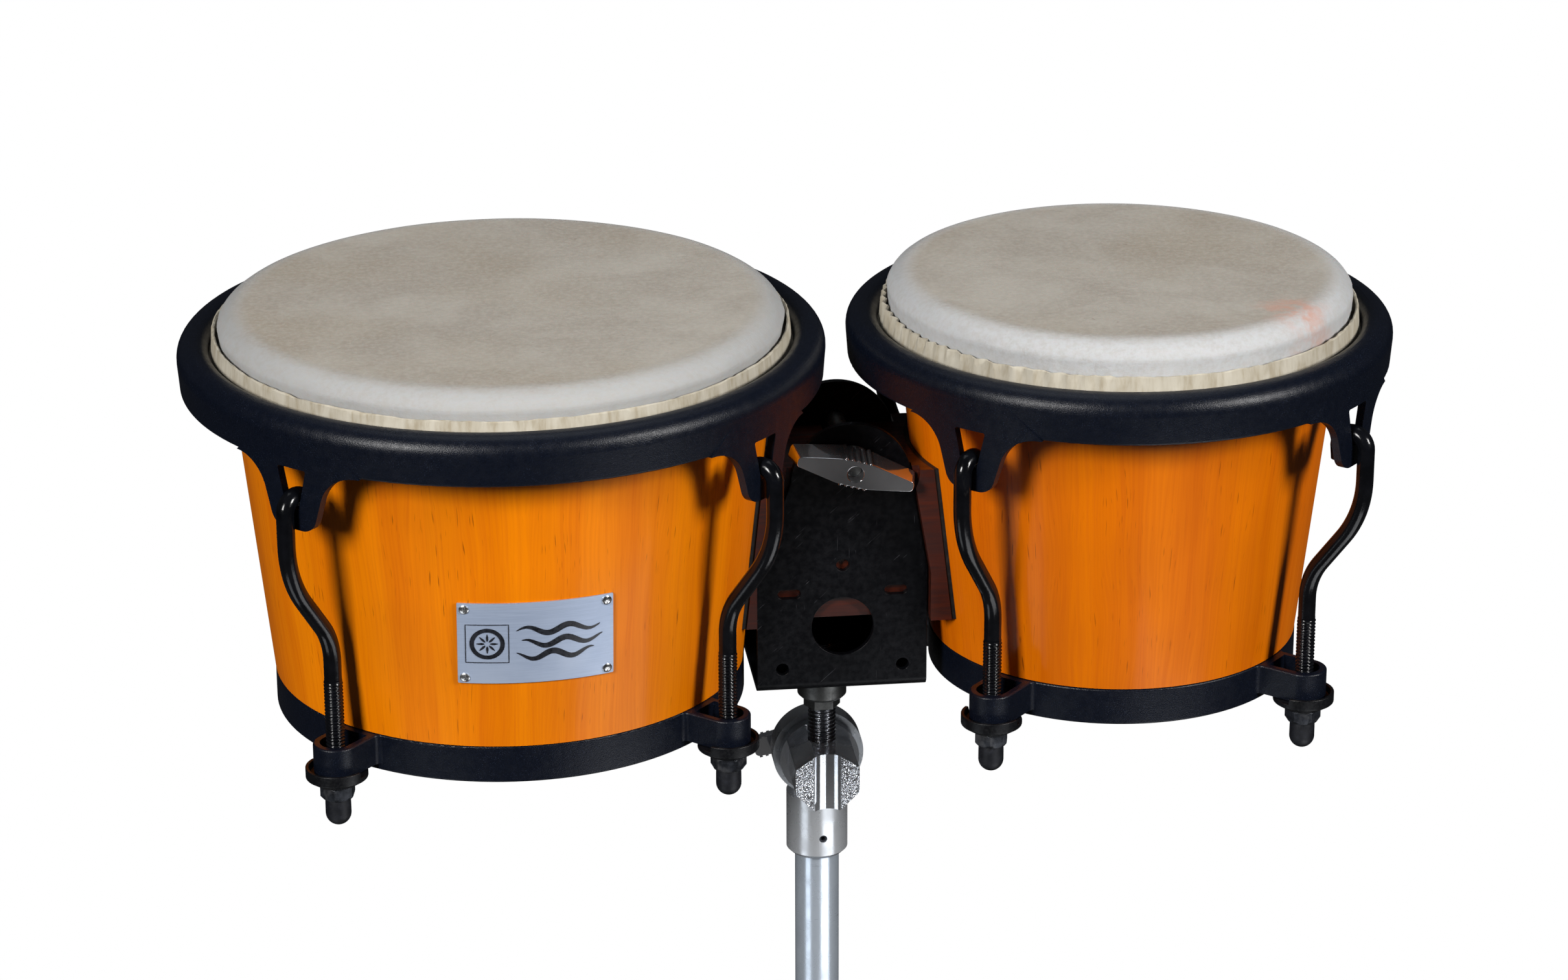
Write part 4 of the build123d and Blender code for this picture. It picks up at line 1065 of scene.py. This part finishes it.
# ---------------------------------------------------------------- assembly

make_camera()
make_stage()

coat = powder_coat()
rod_black = gloss_black("black_gloss_steel", 0.14, 0.25)
washer_black = gloss_black("black_washer_steel", 0.34, 0.15)
nut_finish = nut_black()
cap_rubber = rubber("black_rubber", (0.0045, 0.0052, 0.0080))
zinc = dull_steel("zinc_steel", (0.52, 0.52, 0.50), 0.30)
rod_steel = dull_steel("rod_steel", (0.26, 0.27, 0.30), 0.24)
zinc_nut = dull_steel("dull_zinc_nut", (0.17, 0.172, 0.168), 0.40)
bright = chrome("chrome", (0.80, 0.81, 0.84), 0.07, 0.92)
satin = chrome("satin_chrome", (0.70, 0.73, 0.77), 0.20, 0.55)
pebbled = chrome("pebbled_chrome", (0.78, 0.81, 0.86), 0.08, 0.85, hammered=True)
tube_bright = chrome("tube_chrome", (0.64, 0.72, 0.82), 0.18, 0.55, scratched=True)
drums = {name: DrumSizes(name) for name in DRUM_NAMES}

for drum_name, drum in drums.items():
    look = DRUM_LOOKS[drum_name]
    shell_outside = lacquered_wood(
        drum_name + "_lacquer", drum.place, drum.shell_r * 0.93 * MM,
        look["light"], look["dark"], LACQUER_COAT, look["staves"],
    )
    shell_inside = bare_wood(drum_name + "_inside_wood", drum.place, drum.shell_r * MM)
    shell_piece(drum, shell_outside, shell_inside)
    skin = hide(drum_name + "_hide", drum.place, drum.crest_r * MM, look["pale"], look["stain_at"])
    head_piece(drum, skin, hide_flap(drum_name + "_hide_edge"))
    bevelled(drum_name + "_counterhoop", 0.35, coat, drum_name + "_rim")
    bevelled(drum_name + "_bottom_ring", 0.5, coat, drum_name + "_base_ring")
    bevelled(drum_name + "_washers", 0.3, washer_black, drum_name + "_saddle_washers")
    dress(drum_name + "_flesh_hoop", zinc)
    for number, lug_angle in enumerate(LUG_ANGLES, start=1):
        rod_piece(drum, number, lug_angle, rod_black)
        nut_piece(drum, number, lug_angle, nut_finish)
        cap_piece(drum, number, lug_angle, cap_rubber)

bevelled("nameplate", 0.15, brushed_plate(), "nameplate_sheet")
plate_ornament(drums["large"], dark_enamel())
plate_screws(drums["large"], chrome("plated_screw", (0.72, 0.72, 0.72), 0.16))
bevelled("centre_block", 0.8, block_wood(), "bridge_block")
dress("block_gaskets", rubber("gasket_rubber", (0.010, 0.010, 0.010)))
for node in ("block_bolts", "block_washers", "clamp_bolt", "clamp_washer"):
    bevelled(node, 0.25, zinc, node + "_zinc")
bevelled("u_bracket", 0.4, bracket_paint(), "bracket_plate")
bevelled("wing_nut", 0.5, bright, "cast_wing_nut")
threaded_rod(rod_steel)
bevelled("rod_lock_nut", 0.5, nut_finish, "lock_nut")
bevelled("rod_flange_nut", 0.6, zinc_nut, "flange_nut")
bevelled("rod_holder", 0.6, pebbled, "cast_rod_holder")
bevelled("tilter_body", 0.8, satin, "cast_tilter")
bevelled("tilt_lever_screw", 0.6, bright, "cast_lever")
dress("set_screw", nut_finish)
bevelled("stand_tube", 0.2, tube_bright, "polished_tube")
